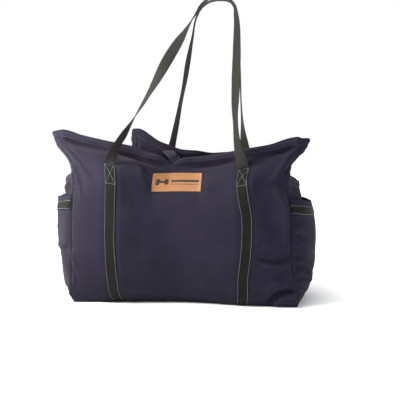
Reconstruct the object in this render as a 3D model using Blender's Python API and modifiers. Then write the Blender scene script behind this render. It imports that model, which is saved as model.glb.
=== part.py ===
"""Soft canvas carrier bag for a small pet, standing open-topped with its two long handles held up.

The bag is a tote: a rectangular base, a front and a back panel that run up into four free corner
ears, and two end panels that stop lower, each with a patch pocket. Webbing is sewn up the front and
the back and goes on as two long handle loops. A snap tab on the back rim closes the mouth.

+Z is up, +X is to the right of someone who faces the label, and the label's side faces -Y.
The origin is on the floor under the middle of the bag. All values are in metres.
"""
import bmesh
import bpy
import numpy as np
from mathutils import Vector

COLLECTION = "pet_carrier_bag"

# Material thicknesses and the play between touching pieces
CANVAS = 0.0016
FACING = 0.0012
LINING = 0.0010
WEBBING = 0.0016
HANDLE_THICKNESS = 0.0020
BINDING = 0.0014
LABEL_THICKNESS = 0.0016
BOARD = 0.0030
MAT = 0.0140
PLAY = 0.0004
LAYER_PLAY = 0.0012

# Widths and lengths of the trimmings
WEBBING_WIDTH = 0.025
LINING_TOP = 10 / 12
FACING_TOP = 0.998
POCKET_MOUTH = {"left": 0.835, "right": 0.810}
BINDING_DROP = 0.035
BINDING_SHARE = 0.075
TAB_WIDTH = 0.024
MAGNET_RADIUS = 0.0070
MAGNET_HEIGHT = 0.0016
CORNER_TRIM = 0.020
BOARD_INSET = 0.016
MAT_INSET = 0.020

# Facets of the surfaces of the panels, handles and tab
PANEL_COLUMNS = 18
END_COLUMNS = 10
PANEL_ROWS = 12
HANDLE_ROWS = 60
TAB_ROWS = 12

# Where the two magnets sit: the tab's row of facets, and the height share behind the front rim
TAB_MAGNET_ROW = 8
RIM_MAGNET_V = 0.93

# Where the sewn webbing runs, as (height share, width share from the left edge), and where its
# box stitch ends
WEBBING_RUNS = {
    "front_left": ([(0.0, 0.200), (0.3, 0.191), (0.7, 0.191), (1.0, 0.208)], 0.832),
    "front_right": ([(0.0, 0.792), (0.4, 0.806), (0.7, 0.798), (1.0, 0.745)], 0.855),
    "back_left": ([(0.0, 0.205), (0.5, 0.220), (1.0, 0.290)], 0.840),
    "back_right": ([(0.0, 0.790), (0.5, 0.795), (1.0, 0.735)], 0.860),
}

# Label on the front panel, as shares of the panel's width and height
LABEL_U = (0.387, 0.600)
LABEL_V = (0.735, 0.845)

# Corners of the base
FRONT_LEFT_CORNER = (-0.232, -0.097, 0.0)
FRONT_RIGHT_CORNER = (0.245, -0.109, 0.0)
BACK_LEFT_CORNER = (-0.234, 0.090, 0.0)
BACK_RIGHT_CORNER = (0.239, 0.090, 0.0)

# Seam from base corner to neck, then the free edge of the ear from neck to tip
FRONT_LEFT_SEAM = [FRONT_LEFT_CORNER, (-0.239, -0.101, 0.014), (-0.243, -0.103, 0.06), (-0.244, -0.102, 0.14),
                   (-0.241, -0.098, 0.23), (-0.243, -0.092, 0.290)]
FRONT_LEFT_EAR = [(-0.259, -0.088, 0.323), (-0.277, -0.083, 0.345), (-0.291, -0.078, 0.381)]
FRONT_RIGHT_SEAM = [FRONT_RIGHT_CORNER, (0.247, -0.111, 0.014), (0.243, -0.107, 0.06), (0.240, -0.102, 0.14),
                    (0.238, -0.099, 0.215), (0.233, -0.096, 0.255), (0.238, -0.090, 0.287)]
FRONT_RIGHT_EAR = [(0.252, -0.087, 0.308), (0.270, -0.083, 0.338), (0.279, -0.078, 0.368)]
BACK_LEFT_SEAM = [BACK_LEFT_CORNER, (-0.240, 0.094, 0.014), (-0.243, 0.100, 0.06), (-0.242, 0.102, 0.14),
                  (-0.232, 0.098, 0.23), (-0.210, 0.085, 0.292)]
BACK_LEFT_EAR = [(-0.168, 0.080, 0.318), (-0.134, 0.069, 0.345), (-0.129, 0.058, 0.388)]
BACK_RIGHT_SEAM = [BACK_RIGHT_CORNER, (0.243, 0.094, 0.014), (0.242, 0.100, 0.06), (0.240, 0.102, 0.14),
                   (0.236, 0.098, 0.22), (0.232, 0.092, 0.283)]
BACK_RIGHT_EAR = [(0.240, 0.086, 0.310), (0.254, 0.078, 0.348)]

# Rims and base edges, left to right; hems of the end panels, front to back
FRONT_RIM = [(-0.291, -0.078, 0.381), (-0.268, -0.078, 0.384), (-0.227, -0.074, 0.373),
             (-0.182, -0.068, 0.362), (-0.144, -0.060, 0.354), (-0.110, -0.045, 0.346),
             (-0.076, -0.036, 0.333), (-0.045, -0.031, 0.328), (0.0, -0.030, 0.324),
             (0.035, -0.031, 0.325), (0.095, -0.038, 0.334),
             (0.136, -0.050, 0.342), (0.196, -0.062, 0.352), (0.251, -0.072, 0.367),
             (0.279, -0.078, 0.368)]
BACK_RIM = [(-0.129, 0.058, 0.388), (-0.113, 0.052, 0.387), (-0.089, 0.049, 0.373),
            (-0.065, 0.047, 0.359), (-0.040, 0.045, 0.350), (-0.012, 0.043, 0.339),
            (0.031, 0.042, 0.336), (0.062, 0.044, 0.332), (0.090, 0.046, 0.333),
            (0.130, 0.050, 0.335), (0.185, 0.060, 0.342), (0.254, 0.078, 0.348)]
FRONT_BASE = [FRONT_LEFT_CORNER, (-0.150, -0.090, 0.0), (0.0, -0.076, 0.0),
              (0.150, -0.092, 0.0), FRONT_RIGHT_CORNER]
BACK_BASE = [BACK_LEFT_CORNER, (-0.150, 0.089, 0.0), (0.0, 0.080, 0.0),
             (0.150, 0.089, 0.0), BACK_RIGHT_CORNER]
LEFT_BASE = [FRONT_LEFT_CORNER, (-0.241, 0.0, 0.0), BACK_LEFT_CORNER]
RIGHT_BASE = [FRONT_RIGHT_CORNER, (0.254, 0.0, 0.0), BACK_RIGHT_CORNER]
LEFT_HEM = [(-0.243, -0.092, 0.290), (-0.262, -0.060, 0.281), (-0.275, -0.020, 0.273),
            (-0.270, 0.030, 0.275), (-0.240, 0.066, 0.284), (-0.210, 0.085, 0.292)]
RIGHT_HEM = [(0.238, -0.090, 0.287), (0.249, -0.060, 0.277), (0.259, -0.020, 0.270),
             (0.262, 0.030, 0.268), (0.250, 0.070, 0.275), (0.232, 0.092, 0.283)]

# How far each panel stands proud of its edges, from its base to its top: (height share, distance)
FRONT_CROWN = [(0.0, 0.0), (0.06, 0.016), (0.18, 0.036), (0.40, 0.054), (0.60, 0.056),
               (0.76, 0.046), (0.90, 0.019), (1.0, 0.0)]
LEFT_CROWN = [(0.0, 0.0), (0.08, 0.010), (0.30, 0.015), (0.60, 0.011), (0.85, 0.003), (1.0, 0.0)]
RIGHT_CROWN = [(0.0, 0.0), (0.08, 0.016), (0.35, 0.034), (0.60, 0.029), (0.85, 0.012), (1.0, 0.0)]

# The back panel stands a little less proud than the front one
BACK_CROWN_SHARE = 0.92

# How far a pocket stands off its end panel, from its base to its mouth
POCKET_GAP = [(0.0, 0.0), (0.10, 0.004), (0.60, 0.010), (1.0, 0.016)]

# The dip in the front rim where the magnetic snap draws it in: width share, spread and depth
DIP_PLACE = 0.466
DIP_SPREAD = 0.034
DIP_DEPTH = 0.014

# Route of each handle's middle line between the tops of its two box stitches
FRONT_HANDLE = [(-0.1565, -0.1045, 0.3110), (-0.1460, -0.1045, 0.3400), (-0.1240, -0.0980, 0.3760),
                (-0.0910, -0.0840, 0.4320), (-0.0610, -0.0670, 0.4870), (-0.0340, -0.0500, 0.5410),
                (-0.0040, -0.0340, 0.5940), (0.0270, -0.0210, 0.6460), (0.0410, -0.0165, 0.6680),
                (0.0570, -0.0150, 0.6810), (0.0790, -0.0148, 0.6850), (0.1020, -0.0150, 0.6800),
                (0.1140, -0.0165, 0.6640), (0.1180, -0.0210, 0.6430), (0.1210, -0.0420, 0.5700),
                (0.1200, -0.0640, 0.4900), (0.1200, -0.0820, 0.4100), (0.1270, -0.0900, 0.3440),
                (0.1390, -0.0870, 0.3020)]
BACK_HANDLE = [(-0.0535, 0.0920, 0.2995), (-0.0420, 0.0930, 0.3480), (-0.0300, 0.0850, 0.4000),
               (-0.0190, 0.0750, 0.4500), (-0.0070, 0.0610, 0.5000), (0.0030, 0.0470, 0.5500),
               (0.0140, 0.0340, 0.6000), (0.0260, 0.0220, 0.6480), (0.0380, 0.0170, 0.6670),
               (0.0560, 0.0150, 0.6790), (0.0790, 0.0148, 0.6830), (0.1040, 0.0150, 0.6780),
               (0.1160, 0.0180, 0.6580), (0.1220, 0.0350, 0.6000), (0.1250, 0.0550, 0.5250),
               (0.1270, 0.0740, 0.4500), (0.1320, 0.0870, 0.3800), (0.1425, 0.0930, 0.2980)]

# How far the webbing has turned about its own line, in degrees, at shares of each handle's length
FRONT_HANDLE_TWIST = [(0.0, 0), (0.02, 28), (0.045, 57), (0.08, 64), (0.12, 90), (0.16, 110),
                      (0.21, 124), (0.25, 145), (0.31, 170), (0.36, 152), (0.40, 118), (0.45, 90),
                      (0.55, 90), (0.60, 65), (0.68, 46), (0.82, 45), (0.89, 62), (0.95, 42), (1.0, 0)]
BACK_HANDLE_TWIST = [(0.0, 0), (0.05, 48), (0.12, 66), (0.20, 78), (0.30, 70), (0.38, 88), (0.50, 90),
                     (0.62, 80), (0.76, 84), (0.88, 72), (0.96, 20), (1.0, 0)]

# Snap tab, from its stitching inside the back rim to its free end just behind the front rim
TAB_ROUTE = [(-0.0460, 0.0365, 0.3370), (-0.0410, 0.0220, 0.3350), (-0.0335, 0.0040, 0.3300),
             (-0.0255, -0.0105, 0.3240), (-0.0195, -0.0190, 0.3170), (-0.0170, -0.0225, 0.3100)]


def smooth(points, share):
    """Points on the smooth curve through the given points, at shares 0 to 1 of its length."""
    points = np.array(points, float)
    steps = np.linalg.norm(np.diff(points, axis=0), axis=1)
    knots = np.concatenate([[0.0], np.cumsum(steps)]) / steps.sum()
    return hermite(knots, points, share)


def hermite(knots, values, share):
    """Cubic interpolation of values at knots."""
    slopes = np.gradient(values, knots, axis=0)
    share = np.clip(np.asarray(share, float), 0.0, 1.0)
    left = np.clip(np.searchsorted(knots, share, side="right") - 1, 0, len(knots) - 2)
    span = (knots[left + 1] - knots[left])[..., None]
    s = (share[..., None] - knots[left][..., None]) / span
    start = (2 * s**3 - 3 * s**2 + 1) * values[left] + (s**3 - 2 * s**2 + s) * span * slopes[left]
    return start + (3 * s**2 - 2 * s**3) * values[left + 1] + (s**3 - s**2) * span * slopes[left + 1]


def profile(pairs, share):
    """One smooth number along shares 0 to 1, from (share, value) pairs."""
    knots, values = np.array(pairs, float).T
    return hermite(knots, values[:, None], share)[..., 0]


def coons(left, right, bottom, top, u, v):
    """Surface between four edge curves: u goes from left to right, v from bottom to top."""
    u, v = np.broadcast_arrays(u, v)
    left_v, right_v, bottom_u, top_u = smooth(left, v), smooth(right, v), smooth(bottom, u), smooth(top, u)
    u, v = u[..., None], v[..., None]
    across = (1 - u) * left_v + u * right_v
    upward = (1 - v) * bottom_u + v * top_u
    corners = (1 - v) * ((1 - u) * np.array(left[0]) + u * np.array(right[0]))
    corners = corners + v * ((1 - u) * np.array(left[-1]) + u * np.array(right[-1]))
    return across + upward - corners


def roundness(u):
    """How much of a panel's crown stands at u: none at the two seams, nearly all between them."""
    return (1 - np.abs(2 * u - 1) ** 3.0) ** 0.8


def front(u, v):
    """Outer face of the front panel."""
    points = coons(FRONT_LEFT_SEAM + FRONT_LEFT_EAR, FRONT_RIGHT_SEAM + FRONT_RIGHT_EAR,
                   FRONT_BASE, FRONT_RIM, u, v)
    points[..., 1] -= profile(FRONT_CROWN, v) * roundness(u)
    points[..., 2] -= DIP_DEPTH * np.exp(-((u - DIP_PLACE) / DIP_SPREAD) ** 2) * v**9
    return points


def back(u, v):
    """Outer face of the back panel, u from right to left, so that its normal points out too."""
    left, right = BACK_LEFT_SEAM + BACK_LEFT_EAR, BACK_RIGHT_SEAM + BACK_RIGHT_EAR
    points = coons(right, left, BACK_BASE[::-1], BACK_RIM[::-1], u, v)
    points[..., 1] += BACK_CROWN_SHARE * profile(FRONT_CROWN, v) * roundness(u)
    return points


def left_end(u, v):
    """Outer face of the left end panel, u from back to front."""
    points = coons(BACK_LEFT_SEAM, FRONT_LEFT_SEAM, LEFT_BASE[::-1], LEFT_HEM[::-1], u, v)
    points[..., 0] -= profile(LEFT_CROWN, v) * roundness(u)
    return points


def right_end(u, v):
    """Outer face of the right end panel, u from front to back."""
    points = coons(FRONT_RIGHT_SEAM, BACK_RIGHT_SEAM, RIGHT_BASE, RIGHT_HEM, u, v)
    points[..., 0] += profile(RIGHT_CROWN, v) * roundness(u)
    return points


def lifted(surface, u, v, lift):
    """Points of a surface moved along its outward normal by lift."""
    step = 0.004
    low_u, high_u = np.clip(u - step, 0, 1), np.clip(u + step, 0, 1)
    low_v, high_v = np.clip(v - step, 0, 1), np.clip(v + step, 0, 1)
    normal = np.cross(surface(high_u, v) - surface(low_u, v), surface(u, high_v) - surface(u, low_v))
    normal /= np.linalg.norm(normal, axis=-1, keepdims=True)
    return surface(u, v) + normal * np.asarray(lift)[..., None]


def facets(low, high, count):
    """Shares from low to high that share the facet lines of a panel with count facets."""
    inner = [step / count for step in range(1, count) if low + 0.004 < step / count < high - 0.004]
    return np.array([low] + inner + [high])


def patch(surface, u_range, v_range, lift):
    """Grid of lifted points over part of a surface, on the panels' own facet lines."""
    columns = PANEL_COLUMNS if surface in (front, back) else END_COLUMNS
    u, v = np.meshgrid(facets(*u_range, columns), facets(*v_range, PANEL_ROWS))
    return lifted(surface, u, v, lift)


def material(name, color, roughness=0.8, metallic=0.0):
    made = bpy.data.materials.new(name)
    made.use_nodes = True
    shader = made.node_tree.nodes["Principled BSDF"]
    shader.inputs["Base Color"].default_value = (*color, 1.0)
    shader.inputs["Roughness"].default_value = roughness
    shader.inputs["Metallic"].default_value = metallic
    return made


def add_object(name, mesh, finish, parent=None):
    made = bpy.data.objects.new(name, mesh)
    mesh.materials.append(finish)
    bpy.data.collections[COLLECTION].objects.link(made)
    if parent:
        made.parent = parent
        made.matrix_parent_inverse = parent.matrix_world.inverted()
    return made


def add_shell(name, grid, thickness, finish, parent=None, offset=-1.0):
    """A sheet through a grid of points, given its thickness behind the points, or about them."""
    rows, columns = grid.shape[:2]
    corners = [(row * columns + column) for row in range(rows - 1) for column in range(columns - 1)]
    faces = [(at, at + 1, at + columns + 1, at + columns) for at in corners]
    mesh = bpy.data.meshes.new(name)
    mesh.from_pydata([tuple(point) for point in grid.reshape(-1, 3)], [], faces)
    mesh.shade_smooth()
    made = add_object(name, mesh, finish, parent)
    solidify = made.modifiers.new("thickness", "SOLIDIFY")
    solidify.thickness = thickness
    solidify.offset = offset
    solidify.use_even_offset = True
    return made


def add_pivot(name, place):
    """An empty on a joint's axis, which the moving pieces are parented to."""
    pivot = bpy.data.objects.new(name, None)
    pivot.location = place
    bpy.data.collections[COLLECTION].objects.link(pivot)
    bpy.context.view_layer.update()
    return pivot


def outline(inset):
    """The base's outline, counter-clockwise from above, moved in by inset."""
    share = np.linspace(0, 1, 9)[:-1]
    loops = [smooth(FRONT_BASE, share), smooth(RIGHT_BASE, share),
             smooth(BACK_BASE[::-1], share), smooth(LEFT_BASE[::-1], share)]
    points = np.concatenate(loops)[:, :2]
    middle = (points.max(axis=0) + points.min(axis=0)) / 2
    reach = (points.max(axis=0) - points.min(axis=0)) / 2
    return middle + (points - middle) * (reach - inset) / reach


def add_plate(name, inset, bottom, thickness, finish, bevel):
    """A flat plate of the base's outline with softened corners and edges."""
    mesh = bpy.data.meshes.new(name)
    shape = bmesh.new()
    ring = [shape.verts.new((x, y, bottom)) for x, y in outline(inset)]
    floor = shape.faces.new(ring)
    extruded = bmesh.ops.extrude_face_region(shape, geom=[floor])
    raised = [item for item in extruded["geom"] if isinstance(item, bmesh.types.BMVert)]
    bmesh.ops.translate(shape, verts=raised, vec=Vector((0, 0, thickness)))
    bmesh.ops.recalc_face_normals(shape, faces=shape.faces)
    shape.to_mesh(mesh)
    shape.free()
    made = add_object(name, mesh, finish)
    if bevel:
        edge = made.modifiers.new("soft_edge", "BEVEL")
        edge.width = bevel
        edge.segments = 2
        edge.limit_method = "ANGLE"
    return made


def webbing_strip(surface, middle, top, lift):
    """Grid for webbing laid up a panel, from just above the base to top."""
    v = facets(0.022, top, PANEL_ROWS)
    u = profile(middle, v)
    step = 0.004
    stretch = np.linalg.norm(surface(u + step, v) - surface(u - step, v), axis=-1) / (2 * step)
    half = WEBBING_WIDTH / 2 / stretch
    columns = np.array([-1.0, 0.0, 1.0])
    return lifted(surface, u[:, None] + half[:, None] * columns, v[:, None] + 0 * columns, lift)


def ribbon(route, twist, width, rows, across):
    """Grid for flat webbing along a route, turned about it from the direction across, which it
    takes where twist is 0."""
    share = np.linspace(0, 1, rows + 1)
    line = smooth(route, share)
    along = np.gradient(line, axis=0)
    along /= np.linalg.norm(along, axis=1, keepdims=True)
    edge = np.cross(across, along)
    edge /= np.linalg.norm(edge, axis=1, keepdims=True)
    flat = np.cross(along, edge)
    turn = np.radians(profile(twist, share))[:, None]
    side = flat * np.cos(turn) + edge * np.sin(turn)
    return line[:, None] + side[:, None] * (np.array([-0.5, 0.5]) * width)[None, :, None]


def handle_ribbon(route, twist):
    """A handle's webbing: flat on the panel at both ends and level across the bag over the top."""
    share = np.linspace(0, 1, HANDLE_ROWS + 1)
    line = smooth(route, share)
    along = np.gradient(line, axis=0)
    along /= np.linalg.norm(along, axis=1, keepdims=True)
    depth = np.array([0.0, 1.0, 0.0])
    level = depth - along * (along @ depth)[:, None]
    level /= np.linalg.norm(level, axis=1, keepdims=True)
    flat = np.cross(level, along)
    turn = np.radians(profile(twist, share))[:, None]
    side = flat * np.cos(turn) + level * np.sin(turn)
    return line[:, None] + side[:, None] * (np.array([-0.5, 0.5]) * WEBBING_WIDTH)[None, :, None]


def build_panels(navy):
    seam = (CORNER_TRIM, 1 - CORNER_TRIM)
    add_shell("front_panel", patch(front, (0, 1), (0, 1), 0), CANVAS, navy)
    add_shell("back_panel", patch(back, (0, 1), (0, 1), 0), CANVAS, navy)
    add_shell("left_end_panel", patch(left_end, seam, (0, 1), 0), CANVAS, navy)
    add_shell("right_end_panel", patch(right_end, seam, (0, 1), 0), CANVAS, navy)
    add_plate("base_panel", 0.005, 0, CANVAS, navy, 0)


def panel_sides():
    """Each panel's name, surface and columns of facets."""
    return (("front", front, PANEL_COLUMNS), ("back", back, PANEL_COLUMNS),
            ("left_end", left_end, END_COLUMNS), ("right_end", right_end, END_COLUMNS))


def build_facings(navy):
    """Folded strips sewn inside the top edges."""
    behind = -(CANVAS + LAYER_PLAY)
    rim = (LINING_TOP + 0.004, FACING_TOP)
    for name, surface, columns in panel_sides():
        span = (1 / columns, 1 - 1 / columns)
        add_shell(name + "_facing", patch(surface, span, rim, behind), FACING, navy)


def build_linings(grey):
    behind = -(CANVAS + LAYER_PLAY)
    for name, surface, columns in panel_sides():
        span = (1 / columns, 1 - 1 / columns)
        grid = patch(surface, span, (1 / PANEL_ROWS, LINING_TOP), behind)
        add_shell(name + "_lining", grid, LINING, grey)


def build_base(black, grey):
    add_plate("base_board", BOARD_INSET, CANVAS + PLAY, BOARD, black, 0)
    add_plate("base_mat", MAT_INSET, CANVAS + BOARD + 2 * PLAY, MAT, grey, 0.004)


def build_pockets(navy, black):
    """Patch pockets sewn into the end panels' seams, with webbing sewn round below the mouth."""
    seam = (CORNER_TRIM, 1 - CORNER_TRIM)
    for side, surface in (("left", left_end), ("right", right_end)):
        mouth = POCKET_MOUTH[side]

        def pocket(u, v, surface=surface, mouth=mouth):
            room = profile(POCKET_GAP, v / mouth) * (1 - np.abs(2 * u - 1) ** 4)
            return lifted(surface, u, v, CANVAS + PLAY + room)

        band_top = mouth - BINDING_DROP
        band = (band_top - BINDING_SHARE, band_top)
        add_shell(side + "_pocket", patch(pocket, seam, (0.05, mouth), 0), CANVAS, navy)
        add_shell(side + "_pocket_binding", patch(pocket, seam, band, BINDING + PLAY), BINDING, black)


def build_webbing(black):
    for name, (run, top) in WEBBING_RUNS.items():
        surface = front if name.startswith("front") else back
        middle = run if surface is front else [(v, 1 - u) for v, u in run]
        grid = webbing_strip(surface, middle, top, WEBBING + 2 * PLAY)
        add_shell(name + "_webbing", grid, WEBBING, black)


def build_handles(black):
    for name, route, twist in (("front_handle", FRONT_HANDLE, FRONT_HANDLE_TWIST),
                               ("back_handle", BACK_HANDLE, BACK_HANDLE_TWIST)):
        pivot = add_pivot(name + "_pivot", (np.array(route[0]) + np.array(route[-1])) / 2)
        add_shell(name, handle_ribbon(route, twist), HANDLE_THICKNESS, black, pivot, 0.0)


def build_label(tan):
    lift = LABEL_THICKNESS + PLAY
    add_shell("label", patch(front, LABEL_U, LABEL_V, lift), LABEL_THICKNESS, tan)


def add_disc(name, place, normal, finish, parent=None):
    """A magnet: a small disc with softened edges whose middle is at place."""
    bpy.ops.mesh.primitive_cylinder_add(
        vertices=20, radius=MAGNET_RADIUS, depth=MAGNET_HEIGHT, location=place)
    made = bpy.context.active_object
    made.name = name
    made.data.name = name
    made.rotation_euler = Vector(normal).to_track_quat("Z", "Y").to_euler()
    made.data.materials.append(finish)
    for collection in list(made.users_collection):
        collection.objects.unlink(made)
    bpy.data.collections[COLLECTION].objects.link(made)
    bpy.context.view_layer.update()
    if parent:
        made.parent = parent
        made.matrix_parent_inverse = parent.matrix_world.inverted()
    edge = made.modifiers.new("soft_edge", "BEVEL")
    edge.width = 0.0004
    edge.limit_method = "ANGLE"


def build_closure(navy, steel):
    """The snap tab and the two magnets that meet just behind the front rim."""
    pivot = add_pivot("closure_tab_pivot", TAB_ROUTE[0])
    grid = ribbon(TAB_ROUTE, [(0.0, 0), (1.0, 0)], TAB_WIDTH, TAB_ROWS, (1.0, 0.0, 0.0))
    add_shell("closure_tab", grid, CANVAS, navy, pivot, 0.0)
    beside = grid[TAB_MAGNET_ROW]
    under = np.cross(grid[TAB_MAGNET_ROW + 1].mean(axis=0) - beside.mean(axis=0), beside[1] - beside[0])
    under /= np.linalg.norm(under)
    drop = CANVAS / 2 + 2 * PLAY + MAGNET_HEIGHT / 2
    add_disc("tab_magnet", beside.mean(axis=0) + drop * under, under, steel, pivot)
    depth = CANVAS + LAYER_PLAY + FACING + 2 * PLAY + MAGNET_HEIGHT / 2
    place, inward = (lifted(front, np.array([DIP_PLACE]), np.array([RIM_MAGNET_V]), -lift)[0]
                     for lift in (depth, depth + 1))
    add_disc("rim_magnet", place, inward - place, steel)


def clear_scene():
    for item in list(bpy.data.objects):
        bpy.data.objects.remove(item, do_unlink=True)
    collection = bpy.data.collections.new(COLLECTION)
    bpy.context.scene.collection.children.link(collection)


def main():
    clear_scene()
    navy = material("navy_canvas", (0.035, 0.030, 0.050), 0.85)
    grey = material("grey_lining", (0.050, 0.050, 0.055), 0.80)
    black = material("black_webbing", (0.018, 0.018, 0.018), 0.75)
    tan = material("tan_leather", (0.580, 0.290, 0.120), 0.65)
    steel = material("magnet_steel", (0.45, 0.45, 0.47), 0.30, 1.0)
    build_panels(navy)
    build_facings(navy)
    build_linings(grey)
    build_base(black, grey)
    build_pockets(navy, black)
    build_webbing(black)
    build_handles(black)
    build_label(tan)
    build_closure(navy, steel)


main()
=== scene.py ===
"""Looks of the soft canvas pet carrier bag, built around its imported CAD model.

The panels repeat the CAD model's surfaces. Each is held as a fine grid with its folds and hems
worked in, and every other sewn piece, from the linings to the single stitches, is laid on those
grids. Shares u and v run across and up a panel, from 0 to 1. All lengths are in metres.
"""
import math

import bpy
import numpy as np
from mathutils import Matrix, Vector


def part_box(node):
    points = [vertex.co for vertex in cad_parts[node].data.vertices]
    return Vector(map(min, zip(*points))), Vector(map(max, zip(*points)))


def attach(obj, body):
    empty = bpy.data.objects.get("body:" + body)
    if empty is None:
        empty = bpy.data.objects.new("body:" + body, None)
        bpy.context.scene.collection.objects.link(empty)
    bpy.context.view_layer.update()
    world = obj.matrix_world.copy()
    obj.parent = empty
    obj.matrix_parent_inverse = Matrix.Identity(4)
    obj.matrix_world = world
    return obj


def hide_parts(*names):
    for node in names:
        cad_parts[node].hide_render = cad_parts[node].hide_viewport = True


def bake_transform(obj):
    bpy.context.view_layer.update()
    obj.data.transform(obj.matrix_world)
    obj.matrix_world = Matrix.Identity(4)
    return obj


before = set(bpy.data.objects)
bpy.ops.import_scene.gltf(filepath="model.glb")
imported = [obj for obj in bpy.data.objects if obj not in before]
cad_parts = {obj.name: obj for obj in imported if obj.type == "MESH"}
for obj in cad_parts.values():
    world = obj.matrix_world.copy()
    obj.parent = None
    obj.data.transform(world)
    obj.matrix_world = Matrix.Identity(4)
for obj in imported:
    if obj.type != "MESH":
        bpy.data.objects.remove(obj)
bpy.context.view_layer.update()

# Material thicknesses and the play between touching pieces
CANVAS = 0.0016
FACING = 0.0012
LINING = 0.001
WEBBING = 0.0016
HANDLE_THICKNESS = 0.002
BINDING = 0.0014
LABEL_THICKNESS = 0.0016
BOARD = 0.003
MAT = 0.014
PLAY = 0.0004
LAYER_PLAY = 0.0012

# How far a sewn-on piece and a row of thread stand off the cloth below them
LAID_ON = 0.0002
STITCH_LIFT = 0.0001

# Widths and lengths of the trimmings
WEBBING_WIDTH = 0.025
LINING_TOP = 10 / 12
POCKET_MOUTH = {"left": 0.835, "right": 0.81}
BINDING_DROP = 0.035
BINDING_SHARE = 0.075
POCKET_HEM = 0.0115
POCKET_FOLD_RADIUS = 0.0013
TAB_WIDTH = 0.024
TAB_THICKNESS = 0.0024
MAGNET_RADIUS = 0.007
MAGNET_HEIGHT = 0.0016
MAT_INSET = 0.02
BASE_INSET = 0.0015

# Shares of a panel's width left free at each side by its lining and its facing: wide panel, end panel
LINING_TRIM = (0.01, 0.024)
FACING_TRIM = (0.003, 0.022)

# The quilted mat: its size, its rolled edge, and the pitch, width and depth of its sewn channels
MAT_SIZE = (0.45, 0.16)
MAT_EDGE = 0.007
QUILT_PITCH = 0.052
QUILT_WIDTH = 0.0042
QUILT_DEPTH = 0.34
MAT_PIPING = 0.0022

# Height share of the magnet behind the front rim
RIM_MAGNET_V = 0.93

# Where the sewn webbing runs, as (height share, width share from the left edge), and where its
# box stitch ends
WEBBING_RUNS = {
    "front_left": ([(0.0, 0.2), (0.3, 0.191), (0.7, 0.191), (1.0, 0.208)], 0.832),
    "front_right": ([(0.0, 0.758), (0.4, 0.808), (0.7, 0.798), (1.0, 0.745)], 0.855),
    "back_left": ([(0.0, 0.205), (0.5, 0.22), (1.0, 0.29)], 0.84),
    "back_right": ([(0.0, 0.79), (0.5, 0.795), (1.0, 0.735)], 0.86),
}

# Label on the front panel, as shares of the panel's width and height
LABEL_U = (0.387, 0.6)
LABEL_V = (0.735, 0.845)

# Corners of the base
FRONT_LEFT_CORNER = (-0.238, -0.0985, 0.0)
FRONT_RIGHT_CORNER = (0.256, -0.111, 0.0)
BACK_LEFT_CORNER = (-0.234, 0.09, 0.0)
BACK_RIGHT_CORNER = (0.239, 0.09, 0.0)

# Seam from base corner to neck, then the free edge of the ear from neck to tip. The feet of the two
# front seams spread a little past the CAD model's, and with them the base edge near the right one and
# the foot of the right webbing run.
FRONT_LEFT_SEAM = [FRONT_LEFT_CORNER, (-0.2447, -0.102425, 0.014), (-0.2448, -0.10345, 0.06),
                   (-0.244, -0.102, 0.14), (-0.241, -0.098, 0.23), (-0.243, -0.092, 0.29)]
FRONT_LEFT_EAR = [(-0.259, -0.088, 0.323), (-0.277, -0.083, 0.345), (-0.291, -0.078, 0.381)]
FRONT_RIGHT_SEAM = [FRONT_RIGHT_CORNER, (0.25745, -0.1129, 0.014), (0.2463, -0.1076, 0.06),
                    (0.24, -0.102, 0.14), (0.238, -0.099, 0.215), (0.233, -0.096, 0.255),
                    (0.238, -0.09, 0.287)]
FRONT_RIGHT_EAR = [(0.252, -0.087, 0.308), (0.27, -0.083, 0.338), (0.279, -0.078, 0.368)]
BACK_LEFT_SEAM = [BACK_LEFT_CORNER, (-0.24, 0.094, 0.014), (-0.243, 0.1, 0.06), (-0.242, 0.102, 0.14),
                  (-0.232, 0.098, 0.23), (-0.21, 0.085, 0.292)]
BACK_LEFT_EAR = [(-0.168, 0.08, 0.318), (-0.134, 0.069, 0.345), (-0.129, 0.058, 0.388)]
BACK_RIGHT_SEAM = [BACK_RIGHT_CORNER, (0.243, 0.094, 0.014), (0.242, 0.1, 0.06), (0.24, 0.102, 0.14),
                   (0.236, 0.098, 0.22), (0.232, 0.092, 0.283)]
BACK_RIGHT_EAR = [(0.24, 0.086, 0.31), (0.254, 0.078, 0.348)]

# Rims and base edges, left to right; hems of the end panels, front to back
FRONT_RIM = [(-0.291, -0.078, 0.381), (-0.268, -0.078, 0.384), (-0.227, -0.074, 0.373),
             (-0.182, -0.068, 0.362), (-0.144, -0.06, 0.354), (-0.11, -0.045, 0.346),
             (-0.076, -0.036, 0.333), (-0.045, -0.031, 0.328), (0.0, -0.03, 0.324),
             (0.035, -0.031, 0.325), (0.095, -0.038, 0.334),
             (0.136, -0.05, 0.342), (0.196, -0.062, 0.352), (0.251, -0.072, 0.367),
             (0.279, -0.078, 0.368)]
BACK_RIM = [(-0.129, 0.058, 0.388), (-0.113, 0.052, 0.387), (-0.089, 0.049, 0.373),
            (-0.065, 0.047, 0.359), (-0.04, 0.045, 0.35), (-0.012, 0.043, 0.339),
            (0.031, 0.042, 0.336), (0.062, 0.044, 0.332), (0.09, 0.046, 0.333),
            (0.13, 0.05, 0.335), (0.185, 0.06, 0.342), (0.254, 0.078, 0.348)]
FRONT_BASE = [FRONT_LEFT_CORNER, (-0.15, -0.09, 0.0), (0.0, -0.076, 0.0),
              (0.165, -0.104, 0.0), FRONT_RIGHT_CORNER]
BACK_BASE = [BACK_LEFT_CORNER, (-0.15, 0.089, 0.0), (0.0, 0.08, 0.0),
             (0.15, 0.089, 0.0), BACK_RIGHT_CORNER]
LEFT_BASE = [FRONT_LEFT_CORNER, (-0.241, 0.0, 0.0), BACK_LEFT_CORNER]
RIGHT_BASE = [FRONT_RIGHT_CORNER, (0.254, 0.0, 0.0), BACK_RIGHT_CORNER]
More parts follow.
